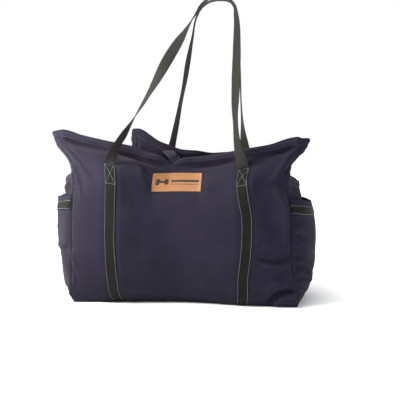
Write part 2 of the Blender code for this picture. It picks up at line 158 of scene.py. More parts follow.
LEFT_HEM = [(-0.243, -0.092, 0.29), (-0.262, -0.06, 0.281), (-0.275, -0.02, 0.273),
            (-0.27, 0.03, 0.275), (-0.24, 0.066, 0.284), (-0.21, 0.085, 0.292)]
RIGHT_HEM = [(0.238, -0.09, 0.287), (0.249, -0.06, 0.277), (0.259, -0.02, 0.27),
             (0.262, 0.03, 0.268), (0.25, 0.07, 0.275), (0.232, 0.092, 0.283)]

# How far each panel stands proud of its edges, from its base to its top: (height share, distance)
FRONT_CROWN = [(0.0, 0.0), (0.06, 0.016), (0.18, 0.036), (0.4, 0.054), (0.6, 0.056),
               (0.76, 0.046), (0.9, 0.019), (1.0, 0.0)]
LEFT_CROWN = [(0.0, 0.0), (0.08, 0.01), (0.3, 0.015), (0.6, 0.011), (0.85, 0.003), (1.0, 0.0)]
RIGHT_CROWN = [(0.0, 0.0), (0.08, 0.016), (0.35, 0.034), (0.6, 0.029), (0.85, 0.012), (1.0, 0.0)]

# The back panel stands a little less proud than the front one
BACK_CROWN_SHARE = 0.92

# How far a pocket stands off its end panel, from its base to its mouth
POCKET_GAP = [(0.0, 0.0), (0.1, 0.004), (0.6, 0.01), (1.0, 0.016)]

# The dip in the front rim where the magnetic snap draws it in: width share, spread and depth
DIP_PLACE = 0.466
DIP_SPREAD = 0.034
DIP_DEPTH = 0.014

# Route of each handle's middle line between the tops of its two box stitches
FRONT_HANDLE = [(-0.1565, -0.1045, 0.311), (-0.146, -0.1045, 0.34), (-0.124, -0.098, 0.376),
                (-0.091, -0.084, 0.432), (-0.061, -0.067, 0.487), (-0.034, -0.05, 0.541),
                (-0.004, -0.034, 0.594), (0.027, -0.021, 0.646), (0.041, -0.0165, 0.668),
                (0.057, -0.015, 0.681), (0.079, -0.0148, 0.685), (0.102, -0.015, 0.68),
                (0.114, -0.0165, 0.664), (0.118, -0.021, 0.643), (0.121, -0.042, 0.57),
                (0.12, -0.064, 0.49), (0.12, -0.082, 0.41), (0.127, -0.09, 0.344),
                (0.139, -0.087, 0.302)]
BACK_HANDLE = [(-0.0535, 0.092, 0.2995), (-0.042, 0.093, 0.348), (-0.03, 0.085, 0.4),
               (-0.019, 0.075, 0.45), (-0.007, 0.061, 0.5), (0.003, 0.047, 0.55),
               (0.014, 0.034, 0.6), (0.026, 0.022, 0.648), (0.038, 0.017, 0.667),
               (0.056, 0.015, 0.679), (0.079, 0.0148, 0.683), (0.104, 0.015, 0.678),
               (0.116, 0.018, 0.658), (0.122, 0.035, 0.6), (0.125, 0.055, 0.525),
               (0.127, 0.074, 0.45), (0.132, 0.087, 0.38), (0.1425, 0.093, 0.298)]

# How far the webbing has turned about its own line, in degrees, at shares of each handle's length
FRONT_HANDLE_TWIST = [(0.0, 0), (0.02, 28), (0.045, 57), (0.08, 64), (0.12, 90), (0.16, 110),
                      (0.21, 124), (0.25, 145), (0.31, 170), (0.36, 152), (0.4, 118), (0.45, 90),
                      (0.55, 90), (0.6, 65), (0.68, 46), (0.82, 45), (0.89, 62), (0.95, 42), (1.0, 0)]
BACK_HANDLE_TWIST = [(0.0, 0), (0.05, 48), (0.12, 66), (0.2, 78), (0.3, 70), (0.38, 88), (0.5, 90),
                     (0.62, 80), (0.76, 84), (0.88, 72), (0.96, 20), (1.0, 0)]

# Each handle's route and twist
HANDLES = {"front": (FRONT_HANDLE, FRONT_HANDLE_TWIST), "back": (BACK_HANDLE, BACK_HANDLE_TWIST)}

# Snap tab, from its stitching inside the back rim to its free end just behind the front rim
TAB_ROUTE = [(-0.046, 0.0365, 0.337), (-0.041, 0.022, 0.335), (-0.0335, 0.004, 0.33),
             (-0.0255, -0.0105, 0.324), (-0.0195, -0.019, 0.317), (-0.017, -0.0225, 0.31)]


def smooth(points, share):
    """Points on the smooth curve through the given points, at shares 0 to 1 of its length."""
    points = np.array(points, float)
    steps = np.linalg.norm(np.diff(points, axis=0), axis=1)
    knots = np.concatenate([[0.0], np.cumsum(steps)]) / steps.sum()
    return hermite(knots, points, share)


def hermite(knots, values, share):
    """Cubic interpolation of values at knots."""
    slopes = np.gradient(values, knots, axis=0)
    share = np.clip(np.asarray(share, float), 0.0, 1.0)
    left = np.clip(np.searchsorted(knots, share, side="right") - 1, 0, len(knots) - 2)
    span = (knots[left + 1] - knots[left])[..., None]
    s = (share[..., None] - knots[left][..., None]) / span
    start = (2 * s**3 - 3 * s**2 + 1) * values[left] + (s**3 - 2 * s**2 + s) * span * slopes[left]
    return start + (3 * s**2 - 2 * s**3) * values[left + 1] + (s**3 - s**2) * span * slopes[left + 1]


def profile(pairs, share):
    """One smooth number along shares 0 to 1, from (share, value) pairs."""
    knots, values = np.array(pairs, float).T
    return hermite(knots, values[:, None], share)[..., 0]


def coons(left, right, bottom, top, u, v):
    """Surface between four edge curves: u goes from left to right, v from bottom to top."""
    u, v = np.broadcast_arrays(u, v)
    left_v, right_v, bottom_u, top_u = smooth(left, v), smooth(right, v), smooth(bottom, u), smooth(top, u)
    u, v = u[..., None], v[..., None]
    across = (1 - u) * left_v + u * right_v
    upward = (1 - v) * bottom_u + v * top_u
    corners = (1 - v) * ((1 - u) * np.array(left[0]) + u * np.array(right[0]))
    corners = corners + v * ((1 - u) * np.array(left[-1]) + u * np.array(right[-1]))
    return across + upward - corners


def roundness(u):
    """How much of a panel's crown stands at u: none at the two seams, nearly all between them."""
    return (1 - np.abs(2 * u - 1) ** 3.0) ** 0.8


def front(u, v):
    """Outer face of the front panel."""
    points = coons(FRONT_LEFT_SEAM + FRONT_LEFT_EAR, FRONT_RIGHT_SEAM + FRONT_RIGHT_EAR,
                   FRONT_BASE, FRONT_RIM, u, v)
    points[..., 1] -= profile(FRONT_CROWN, v) * roundness(u)
    points[..., 2] -= DIP_DEPTH * np.exp(-((u - DIP_PLACE) / DIP_SPREAD) ** 2) * v**9
    return points


def back(u, v):
    """Outer face of the back panel, u from right to left, so that its normal points out too."""
    left, right = BACK_LEFT_SEAM + BACK_LEFT_EAR, BACK_RIGHT_SEAM + BACK_RIGHT_EAR
    points = coons(right, left, BACK_BASE[::-1], BACK_RIM[::-1], u, v)
    points[..., 1] += BACK_CROWN_SHARE * profile(FRONT_CROWN, v) * roundness(u)
    return points


def left_end(u, v):
    """Outer face of the left end panel, u from back to front."""
    points = coons(BACK_LEFT_SEAM, FRONT_LEFT_SEAM, LEFT_BASE[::-1], LEFT_HEM[::-1], u, v)
    points[..., 0] -= profile(LEFT_CROWN, v) * roundness(u)
    return points


def right_end(u, v):
    """Outer face of the right end panel, u from front to back."""
    points = coons(FRONT_RIGHT_SEAM, BACK_RIGHT_SEAM, RIGHT_BASE, RIGHT_HEM, u, v)
    points[..., 0] += profile(RIGHT_CROWN, v) * roundness(u)
    return points


# Fineness of the grids, as columns and rows
STRAP_ROWS = 420
STRAP_COLUMNS = 19
WEBBING_ROWS = 170
MAT_GRID = (240, 96)
BAND_GRID = (120, 14)
HEM_COLUMNS = 120
PANEL_GRID = (200, 150)
END_GRID = (96, 128)
LINING_GRID = (90, 60)

# Sizes across and up a panel, used to turn shares into metres on the cloth
PANEL_SIZE = (0.53, 0.41)
END_SIZE = (0.21, 0.29)

# Folded edges and hems, with their two rows of thread
HEM_WIDTH = 0.0135
HEM_RISE = 0.001
HEM_GROOVE = 0.0014
OUTER_ROW = 0.0042
FOLD_RADIUS = 0.0021
PIPING_RADIUS = 0.0019

# How far the cloth is drawn in under the rim's hem, and the start and height of that step
RIM_TUCK = {"front": 0.016, "back": 0.001}
RIM_STEP = (0.001, 0.0072)

# The ears bend in at their left and right edges: a soft roll, and a sharper drop outside the hem line,
# which begins and is full at the distances EAR_DROP_EDGES from the edge
EAR_ROLL = {"front": (0.003, 0.007), "back": (0.004, 0.003)}
EAR_ROLL_WIDTH = 0.021
EAR_DROP = {"front": (0.0015, 0.009), "back": (0.0, 0.0)}
EAR_DROP_EDGES = (0.0195, 0.0135)

# The back panel sinks in below its rim, towards its left ear and its right side: how far, the width
# share where that starts, and the share over which it grows. It is deepest LEAN_HEIGHT below the rim.
BACK_EAR_LEAN = (0.022, 0.67, 0.2)
BACK_RIM_LEAN = (0.015, 0.44, 0.15)
LEAN_HEIGHT = 0.04

# Thread: radius, length of a stitch, and from one stitch to the next
THREAD_RADIUS = 0.0004
FINE_THREAD = 0.00034
STITCH_LENGTH = 0.0031
STITCH_PITCH = 0.0043

# The label: middle (x, z), width and height, its tilt in radians, and its corners' radius
LABEL_MIDDLE = (-0.0085, 0.269)
LABEL_SIZE = (0.109, 0.0385)
LABEL_TILT = 0.008
LABEL_CORNER = 0.0022

# The label's thread: its radius, its distance from the edge, and the pitch and length of its stitches
LABEL_THREAD = 0.0003
LABEL_ROW = 0.0028
LABEL_STITCH = (0.0034, 0.0023)

# Length of the crossed box stitch at the top of each webbing run, and its distance from the top
BOX_STITCH = 0.046
BOX_DROP = 0.0035

UPWARD = np.array([0.0, 0.0, 1.0])

# The floor lies just under the bag
FLOOR = -0.0004

# Camera: direction in degrees, distance and aim in metres, lens in millimetres
CAMERA_AZIMUTH = 5.0
CAMERA_ELEVATION = 4.5
CAMERA_DISTANCE = 1.8
CAMERA_AIM = (0.035, 0.0, 0.224)
CAMERA_LENS = 69.75

# Folds, each a line of shares (u, v), then its width, height, and how much of it fades at each end
FRONT_FOLDS = [
    # right ear: a ridge beside its hem, the hollow below and the ridge down to the corner seam
    ([(0.952, 0.94), (0.946, 0.86), (0.948, 0.78), (0.94, 0.7)], 0.009, 0.005, 0.25, 0.25),
    ([(0.93, 0.66), (0.908, 0.59), (0.916, 0.52), (0.936, 0.44), (0.94, 0.36)], 0.017, -0.0095, 0.3, 0.3),
    ([(0.938, 0.705), (0.956, 0.665), (0.975, 0.61), (0.984, 0.52), (0.985, 0.4), (0.98, 0.31)],
     0.0095, 0.009, 0.15, 0.12),
    # right side: the deep fold across to the seam, a ridge on each side of it, a dent and a ridge below
    ([(0.83, 0.328), (0.88, 0.292), (0.925, 0.266), (1.0, 0.29)], 0.0062, -0.007, 0.35, 0.02),
    ([(0.865, 0.276), (0.91, 0.244), (0.95, 0.23), (0.995, 0.25)], 0.0066, 0.0075, 0.35, 0.02),
    ([(0.87, 0.375), (0.92, 0.345), (0.97, 0.335)], 0.01, 0.0042, 0.3, 0.2),
    ([(0.926, 0.215), (0.952, 0.175), (0.972, 0.125)], 0.011, -0.0034, 0.3, 0.25),
    ([(0.958, 0.225), (0.976, 0.185), (0.988, 0.135)], 0.008, 0.005, 0.25, 0.25),
    # right base corner: a pushed-out corner under a dark overhang
    ([(0.878, 0.008), (0.89, 0.045), (0.905, 0.074), (0.935, 0.092), (0.965, 0.098), (1.0, 0.102)],
     0.0064, -0.0115, 0.2, 0.02),
    ([(0.892, 0.012), (0.935, 0.038), (0.99, 0.042)], 0.0105, 0.0105, 0.2, 0.02),
    ([(0.862, 0.055), (0.885, 0.098), (0.925, 0.128), (0.985, 0.138)], 0.008, 0.0052, 0.25, 0.1),
    # broad swells below the rim, which tilt the cloth above them to the light
    ([(0.58, 0.76), (0.7, 0.765), (0.82, 0.745), (0.9, 0.71)], 0.04, 0.0085, 0.2, 0.25),
    ([(0.1, 0.75), (0.25, 0.78), (0.4, 0.78)], 0.04, 0.0065, 0.25, 0.2),
    # small pleats beside the right webbing
    ([(0.835, 0.64), (0.855, 0.62), (0.88, 0.612)], 0.004, -0.0013, 0.15, 0.4),
    ([(0.835, 0.6), (0.858, 0.588), (0.878, 0.585)], 0.004, -0.0011, 0.15, 0.4),
    # left ear: two thin creases that run down from its tip and its neck
    ([(0.018, 0.965), (0.04, 0.845), (0.08, 0.735), (0.11, 0.66)], 0.0034, 0.0027, 0.1, 0.45),
    ([(0.034, 0.955), (0.06, 0.84), (0.104, 0.73)], 0.0065, -0.0026, 0.15, 0.45),
    ([(0.006, 0.77), (0.022, 0.69), (0.044, 0.615), (0.05, 0.54)], 0.0036, 0.003, 0.1, 0.4),
    ([(0.02, 0.78), (0.042, 0.69), (0.066, 0.6)], 0.007, -0.0028, 0.15, 0.4),
    # left corner seam, low down
    ([(0.004, 0.28), (0.022, 0.215), (0.04, 0.16)], 0.0038, 0.0022, 0.1, 0.4),
    ([(0.004, 0.225), (0.02, 0.18), (0.034, 0.12)], 0.0042, -0.0022, 0.1, 0.4),
    ([(0.01, 0.12), (0.06, 0.075), (0.12, 0.05)], 0.012, -0.003, 0.15, 0.4),
    # middle of the rim: soft swells each side of the dip and the hollow that runs down from it
    ([(0.35, 0.965), (0.4, 0.955), (0.445, 0.968)], 0.009, 0.0034, 0.3, 0.2),
    ([(0.485, 0.968), (0.56, 0.965), (0.68, 0.96)], 0.009, 0.0032, 0.2, 0.4),
    ([(0.466, 1.0), (0.474, 0.96), (0.484, 0.925)], 0.0075, -0.005, 0.02, 0.4),
    ([(0.335, 0.945), (0.352, 0.86), (0.368, 0.77)], 0.008, -0.0052, 0.25, 0.35),
    ([(0.308, 0.935), (0.325, 0.85), (0.342, 0.77)], 0.009, 0.0036, 0.3, 0.35),
    # the pull of the handles
    ([(0.205, 0.88), (0.212, 0.94), (0.235, 0.985)], 0.01, 0.0024, 0.25, 0.25),
    ([(0.745, 0.9), (0.735, 0.945), (0.715, 0.985)], 0.01, 0.0024, 0.25, 0.25),
    ([(0.22, 0.8), (0.26, 0.74), (0.3, 0.64)], 0.016, -0.0018, 0.2, 0.45),
    ([(0.75, 0.8), (0.715, 0.74), (0.69, 0.64)], 0.016, -0.0018, 0.2, 0.45),
    # the base edge between the two webbings
    ([(0.23, 0.06), (0.4, 0.045), (0.56, 0.05), (0.74, 0.065)], 0.012, -0.002, 0.25, 0.25),
]
BACK_FOLDS = [
    ([(0.02, 0.96), (0.045, 0.84), (0.09, 0.72)], 0.005, 0.003, 0.1, 0.45),
    ([(0.045, 0.95), (0.08, 0.82), (0.13, 0.7)], 0.009, -0.0034, 0.15, 0.45),
    ([(0.97, 0.96), (0.935, 0.86), (0.9, 0.76), (0.88, 0.65)], 0.006, 0.0036, 0.1, 0.45),
    ([(0.945, 0.95), (0.905, 0.84), (0.86, 0.72)], 0.012, -0.0042, 0.15, 0.45),
    ([(0.99, 0.72), (0.96, 0.64), (0.95, 0.54)], 0.006, 0.0034, 0.15, 0.4),
    ([(0.015, 0.3), (0.07, 0.265), (0.14, 0.285)], 0.0062, -0.0052, 0.05, 0.35),
    ([(0.015, 0.262), (0.075, 0.226), (0.145, 0.25)], 0.0075, 0.0038, 0.05, 0.35),
    ([(0.985, 0.24), (0.93, 0.205), (0.87, 0.22)], 0.0062, -0.0046, 0.05, 0.35),
    ([(0.985, 0.205), (0.93, 0.17), (0.87, 0.188)], 0.0075, 0.0034, 0.05, 0.35),
    ([(0.01, 0.085), (0.06, 0.08), (0.11, 0.02)], 0.0065, -0.006, 0.05, 0.2),
    ([(0.99, 0.09), (0.93, 0.082), (0.885, 0.02)], 0.0065, -0.006, 0.05, 0.2),
    ([(0.36, 0.9), (0.42, 0.8), (0.5, 0.72)], 0.018, -0.0026, 0.25, 0.4),
    ([(0.56, 0.93), (0.52, 0.84), (0.5, 0.76)], 0.012, 0.0022, 0.25, 0.4),
    ([(0.23, 0.06), (0.4, 0.045), (0.56, 0.05), (0.74, 0.065)], 0.012, -0.002, 0.25, 0.25),
]
RIGHT_END_FOLDS = [
    ([(0.06, 0.93), (0.3, 0.89), (0.56, 0.92)], 0.007, -0.003, 0.15, 0.4),
    ([(0.94, 0.93), (0.76, 0.88), (0.6, 0.85)], 0.008, -0.0032, 0.1, 0.4),
]
LEFT_END_FOLDS = [
    ([(0.94, 0.95), (0.76, 0.93), (0.56, 0.9)], 0.007, 0.004, 0.1, 0.4),
    ([(0.96, 0.9), (0.78, 0.88), (0.6, 0.85)], 0.007, -0.0036, 0.1, 0.4),
    ([(0.05, 0.93), (0.24, 0.89), (0.42, 0.9)], 0.008, -0.0032, 0.1, 0.4),
]
RIGHT_POCKET_FOLDS = [
    ([(0.02, 0.76), (0.18, 0.71), (0.3, 0.65), (0.4, 0.58)], 0.0058, 0.0066, 0.1, 0.5),
    ([(0.02, 0.69), (0.18, 0.64), (0.34, 0.57), (0.48, 0.48)], 0.0068, -0.0062, 0.1, 0.4),
    ([(0.02, 0.445), (0.18, 0.4), (0.29, 0.375), (0.4, 0.37)], 0.0052, 0.0066, 0.05, 0.5),
    ([(0.02, 0.4), (0.18, 0.35), (0.34, 0.325), (0.5, 0.32)], 0.0056, -0.0062, 0.05, 0.4),
    ([(0.02, 0.33), (0.14, 0.29), (0.3, 0.3)], 0.005, 0.005, 0.05, 0.4),
    ([(0.03, 0.235), (0.2, 0.225), (0.36, 0.255)], 0.0056, 0.0044, 0.1, 0.4),
    ([(0.98, 0.48), (0.82, 0.43), (0.64, 0.44)], 0.006, 0.005, 0.05, 0.4),
    ([(0.98, 0.43), (0.82, 0.38), (0.66, 0.39)], 0.0064, -0.0052, 0.05, 0.4),
    ([(0.04, 0.12), (0.3, 0.08), (0.7, 0.085), (0.96, 0.125)], 0.008, -0.0044, 0.1, 0.1),
]
LEFT_POCKET_FOLDS = [
    ([(0.98, 0.56), (0.82, 0.52), (0.6, 0.54)], 0.0062, 0.003, 0.05, 0.4),
    ([(0.98, 0.515), (0.82, 0.47), (0.62, 0.49)], 0.0068, -0.0032, 0.05, 0.4),
    ([(0.7, 0.78), (0.69, 0.6), (0.72, 0.4)], 0.012, 0.0026, 0.2, 0.4),
    ([(0.02, 0.42), (0.2, 0.36), (0.42, 0.37)], 0.0065, -0.0038, 0.05, 0.4),
    ([(0.02, 0.46), (0.2, 0.405), (0.42, 0.41)], 0.006, 0.0034, 0.05, 0.4),
    ([(0.04, 0.12), (0.3, 0.08), (0.7, 0.085), (0.96, 0.125)], 0.008, -0.0044, 0.1, 0.1),
]


def smoothstep(share):
    """0 below share 0, 1 above share 1, and a smooth rise between them."""
    share = np.clip(share, 0.0, 1.0)
    return share * share * (3 - 2 * share)


def bell(distance, middle, width):
    """1 at the middle, falling away smoothly over about the width to either side."""
    return np.exp(-((distance - middle) / width) ** 2)


def unit(vectors):
    """The vectors at length 1."""
    return vectors / np.linalg.norm(vectors, axis=-1, keepdims=True)


def travelled(path):
    """Distance along a path of points, at each point."""
    return np.concatenate([[0.0], np.cumsum(np.linalg.norm(np.diff(path, axis=0), axis=1))])


def neck_share(seam, ear):
    """Share of a panel's side edge that is sewn to its neighbour; the rest is the ear's free edge."""
    steps = np.linalg.norm(np.diff(np.array(seam + ear), axis=0), axis=1)
    return steps[:len(seam) - 1].sum() / steps.sum()


# The sewn seam and the ear's free edge at each corner, and the necks between them, left to right as
# each panel is seen from outside
CORNERS = {
    "front_left": (FRONT_LEFT_SEAM, FRONT_LEFT_EAR), "front_right": (FRONT_RIGHT_SEAM, FRONT_RIGHT_EAR),
    "back_left": (BACK_LEFT_SEAM, BACK_LEFT_EAR), "back_right": (BACK_RIGHT_SEAM, BACK_RIGHT_EAR),
}
FRONT_NECKS = (neck_share(*CORNERS["front_left"]), neck_share(*CORNERS["front_right"]))
BACK_NECKS = (neck_share(*CORNERS["back_right"]), neck_share(*CORNERS["back_left"]))


def fold(u, v, size, points, width, height, fade_in, fade_out):
    """Relief of one fold along a line of shares: a rounded ridge, or a valley where height is negative."""
    line = smooth(np.array(points) * size, np.linspace(0, 1, 60))
    gaps = np.hypot(u[..., None] * size[0] - line[:, 0], v[..., None] * size[1] - line[:, 1])
    share = gaps.argmin(axis=-1) / (len(line) - 1)
    strength = smoothstep(share / fade_in) * smoothstep((1 - share) / fade_out)
    runs_off = 0.03
    past_end = np.where(share == 1, fade_out < runs_off, strength)
    strength = np.where(share == 0, fade_in < runs_off, past_end)
    return height * strength * bell(gaps.min(axis=-1), 0, width)


def unevenness(u, v, size, seed, height, length):
    """Gentle relief from a few crossing waves of about the given length."""
    draw = np.random.default_rng(seed)
    relief = np.zeros_like(u)
    waves = 9
    for _ in range(waves):
        angle, phase, stretch = draw.uniform(0, math.tau), draw.uniform(0, math.tau), draw.uniform(0.7, 1.6)
        along = u * size[0] * math.cos(angle) + v * size[1] * math.sin(angle)
        relief += np.sin(math.tau * along / (length * stretch) + phase)
    return relief * height / math.sqrt(waves)


def hem(distance, width=HEM_WIDTH):
    """Relief of a doubled hem: raised up to its stitching, with a groove under each row of thread."""
    past, slope = 0.002, 0.003
    inner_width, outer_width, outer_share = 0.0022, 0.0014, 0.4
    raised = HEM_RISE * smoothstep((width + past - distance) / slope)
    inner = bell(distance, width, inner_width)
    outer = bell(distance, OUTER_ROW, outer_width)
    return raised - HEM_GROOVE * inner - outer_share * HEM_GROOVE * outer


def tucked_rim(distance, across, tuck):
    """The hem stands upright, the cloth is drawn in under its lower edge and swells again below that."""
    start, height = RIM_STEP
    kept, fading = 0.0045, 0.0165
    swell_height, swell_place, swell_width = 0.0016, 0.021, 0.011
    below = distance - HEM_WIDTH
    drawn_in = smoothstep((below + start) / height) * bell(np.maximum(below - kept, 0), 0, fading)
    swell = swell_height * bell(below, swell_place, swell_width)
    waver = 0.75 + 0.25 * np.sin(math.tau * across / 0.17 + 0.6)
    return smoothstep(across / 0.05) * (swell - tuck * waver * drawn_in)


def leaning_rim(u, up):
    """The back panel sinks inward below its rim, most at the left ear, so its inner face looks upward."""
    left_depth, left_start, left_growth = BACK_EAR_LEAN
    right_depth, right_start, right_growth = BACK_RIM_LEAN
    left = left_depth * smoothstep((u - left_start) / left_growth)
    right = right_depth * smoothstep((right_start - u) / right_growth) * smoothstep(u / 0.1)
    fading = bell(np.maximum(up - LEAN_HEIGHT, 0), 0, 0.028)
    return -(left + right) * smoothstep(up / LEAN_HEIGHT) * fading


def pucker(distance, along, height=0.0006):
    """Small gathers that stitching draws up beside a seam."""
    ripple = np.sin(math.tau * along / 0.0165) + 0.6 * np.sin(math.tau * along / 0.0107 + 1.3)
    return height * ripple * bell(distance, 0.006, 0.0065)


def webbing_shadow(u, v, middle, top):
    """The panel is drawn in under sewn webbing and swells a little beside it."""
    swell_height, swell_place, swell_width, gathers = 0.001, 0.024, 0.009, 0.0004
    across = np.abs(u - profile(middle, v)) * PANEL_SIZE[0]
    along = smoothstep((top + 0.02 - v) / 0.04)
    swell = swell_height * bell(across, swell_place, swell_width)
    return along * (swell + pucker(across - 0.01, v * PANEL_SIZE[1], gathers))


def ear_bends(side, necks, v, left, right):
    """How far a panel's two ears bend in beside their free edges."""
    bends = 0
    begins, full = EAR_DROP_EDGES
    for distance, neck, roll, drop in zip((left, right), necks, EAR_ROLL[side], EAR_DROP[side]):
        bent = roll * np.clip(1 - distance / EAR_ROLL_WIDTH, 0, 1) ** 1.4
        bent += drop * smoothstep((begins - distance) / (begins - full))
        bends = bends + bent * smoothstep((v - neck + 0.01) / 0.09)
    return bends


def panel_relief(u, v, side, folds, necks, runs, seed):
    """Everything that is worked into the front or the back panel."""
    across, height = u * PANEL_SIZE[0], v * PANEL_SIZE[1]
    up, left, right = PANEL_SIZE[1] - height, across, PANEL_SIZE[0] - across
    sewn_left, sewn_right = v < necks[0], v < necks[1]
    far = 1.0
    free = np.minimum(up, np.where(sewn_left, far, left))
    free = np.minimum(free, np.where(sewn_right, far, right))
    seam = np.minimum(np.where(sewn_left, left, far), np.where(sewn_right, right, far))
    seam = np.minimum(seam, height)
    relief = unevenness(u, v, PANEL_SIZE, seed, 0.0014, 0.115)
    relief += unevenness(u, v, PANEL_SIZE, seed + 1, 0.0004, 0.04)
    for line in folds:
        relief += fold(u, v, PANEL_SIZE, *line)
    for middle, top in runs:
        relief += webbing_shadow(u, v, middle, top)
    relief += pucker(np.minimum(left, right), height) + pucker(up - HEM_WIDTH, across, 0.0002)
    relief = relief * smoothstep(seam / 0.0055) * smoothstep(free / 0.004 + 0.15) + hem(free)
    relief += tucked_rim(up, np.minimum(left, right), RIM_TUCK[side])
    return relief - ear_bends(side, necks, v, left, right)


def end_relief(u, v, folds, seed):
    """Everything that is worked into an end panel: its top edge is hemmed, its other edges sewn."""
    up = (1 - v) * END_SIZE[1]
    seam = np.minimum(np.minimum(u, 1 - u) * END_SIZE[0], v * END_SIZE[1])
    relief = unevenness(u, v, END_SIZE, seed, 0.001, 0.08)
    for line in folds:
        relief += fold(u, v, END_SIZE, *line)
    relief += pucker(np.minimum(u, 1 - u) * END_SIZE[0], v * END_SIZE[1])
    return relief * smoothstep(seam / 0.008) + hem(up)


def grid_normals(points):
    """Outward unit normals of a grid of points."""
    across, upward = np.gradient(points, axis=1), np.gradient(points, axis=0)
    normals = np.cross(across, upward)
    return normals / np.maximum(np.linalg.norm(normals, axis=-1, keepdims=True), 1e-12)


class Sheet:
    """A surface held as a fine grid of points and outward normals, which pieces are laid on."""

    def __init__(self, points):
        self.points = points
        self.normals = grid_normals(points)

    def at(self, u, v, lift=0.0):
        """Points at shares u and v of the grid, moved out along its normals by lift."""
        u, v = np.broadcast_arrays(u, v)
        rows, columns = self.points.shape[:2]
        x, y = np.clip(u, 0, 1) * (columns - 1), np.clip(v, 0, 1) * (rows - 1)
        column = np.minimum(x.astype(int), columns - 2)
        row = np.minimum(y.astype(int), rows - 2)
        x, y = (x - column)[..., None], (y - row)[..., None]

        def between(grid):
            low = grid[row, column] * (1 - x) + grid[row, column + 1] * x
            high = grid[row + 1, column] * (1 - x) + grid[row + 1, column + 1] * x
            return low * (1 - y) + high * y

        outward = unit(between(self.normals))
        return between(self.points) + outward * np.broadcast_to(lift, u.shape)[..., None]


def bunched(count):
    """Shares from -1 to 1, closer together towards both ends."""
    return np.sin(np.linspace(-1, 1, count) * math.pi / 2)


def rounded_edges(across):
    """Thickness share of a strap at shares -1 to 1 across it: full, and rounded off at both edges."""
    return np.sqrt(1 - 0.94 * np.abs(across) ** 10)


def shares(grid, u_range=(0.0, 1.0), v_range=(0.0, 1.0)):
    """Grids of u and v shares with the given columns and rows."""
    return np.meshgrid(np.linspace(*u_range, grid[0] + 1), np.linspace(*v_range, grid[1] + 1))


def for_panel(side, wide, end):
    """The first value for the front and back panels, the second for the end panels."""
    return end if side.endswith("_end") else wide


def sculpted(surface, grid, relief):
    """A sheet through a surface with relief(u, v) worked into it."""
    u, v = shares(grid)
    smooth_sheet = surface(u, v)
    return Sheet(smooth_sheet + grid_normals(smooth_sheet) * relief(u, v)[..., None])


def cloth_metres(points):
    """Metres along and up a grid, measured on the cloth from the grid's middle."""
    metres = np.zeros_like(points)
    for axis, place in ((1, 0), (0, 1)):
        steps = np.linalg.norm(np.diff(points, axis=axis), axis=2)
        run = np.cumsum(steps, axis=axis)
        first = np.zeros_like(np.take(run, [0], axis=axis))
        run = np.concatenate([first, run], axis=axis)
        metres[..., place] = run - np.take(run, [run.shape[axis] // 2], axis=axis)
    return metres


def build_mesh(name, vertices, faces, cloth, finish, body="bag"):
    """A smooth-shaded object with its cloth coordinates and slot, which rides on a body if one is given."""
    mesh = bpy.data.meshes.new(name)
    mesh.from_pydata(vertices.tolist(), [], faces)
    mesh.attributes.new("cloth", "FLOAT_VECTOR", "POINT").data.foreach_set(
        "vector", np.ascontiguousarray(cloth, dtype=np.float32).ravel())
    mesh.materials.append(finish)
    mesh.shade_smooth()
    made = bpy.data.objects.new(name, mesh)
    bpy.context.scene.collection.objects.link(made)
    if body:
        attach(made, body)
    return made


def shell(name, outer, inner, finish, body="bag"):
    """A closed sheet of cloth between an outer and an inner grid of points."""
    rows, columns = outer.shape[:2]
    count = rows * columns
    at = (np.arange(rows - 1)[:, None] * columns + np.arange(columns - 1)).ravel()
    quads = np.stack([at, at + 1, at + columns + 1, at + columns], axis=1)
    edge = np.concatenate([np.arange(columns - 1), np.arange(rows - 1) * columns + columns - 1,
                           count - 1 - np.arange(columns - 1), (rows - 1 - np.arange(rows - 1)) * columns])
    ahead = np.roll(edge, -1)
    walls = np.stack([ahead, edge, edge + count, ahead + count], axis=1)
    faces = np.concatenate([quads, quads[:, ::-1] + count, walls]).tolist()
    vertices = np.concatenate([outer.reshape(-1, 3), inner.reshape(-1, 3)])
    metres = cloth_metres(outer).reshape(-1, 3)
    return build_mesh(name, vertices, faces, np.concatenate([metres, metres]), finish, body)


def layer(name, sheet, u, v, thickness, finish, soften):
    """A strip of cloth laid on a sheet, its edges rounded off over the last soften cells."""
    half = thickness / 2
    rows, columns = u.shape
    x = 1 - np.abs(np.linspace(-1, 1, columns))[None, :]
    y = 1 - np.abs(np.linspace(-1, 1, rows))[:, None]
    inset = np.minimum(1, np.minimum(x * columns, y * rows) / soften)
    middle, half = LAID_ON + half, half * np.sqrt(1 - (1 - inset) ** 2 * 0.96)
    return shell(name, sheet.at(u, v, middle + half), sheet.at(u, v, middle - half), finish)


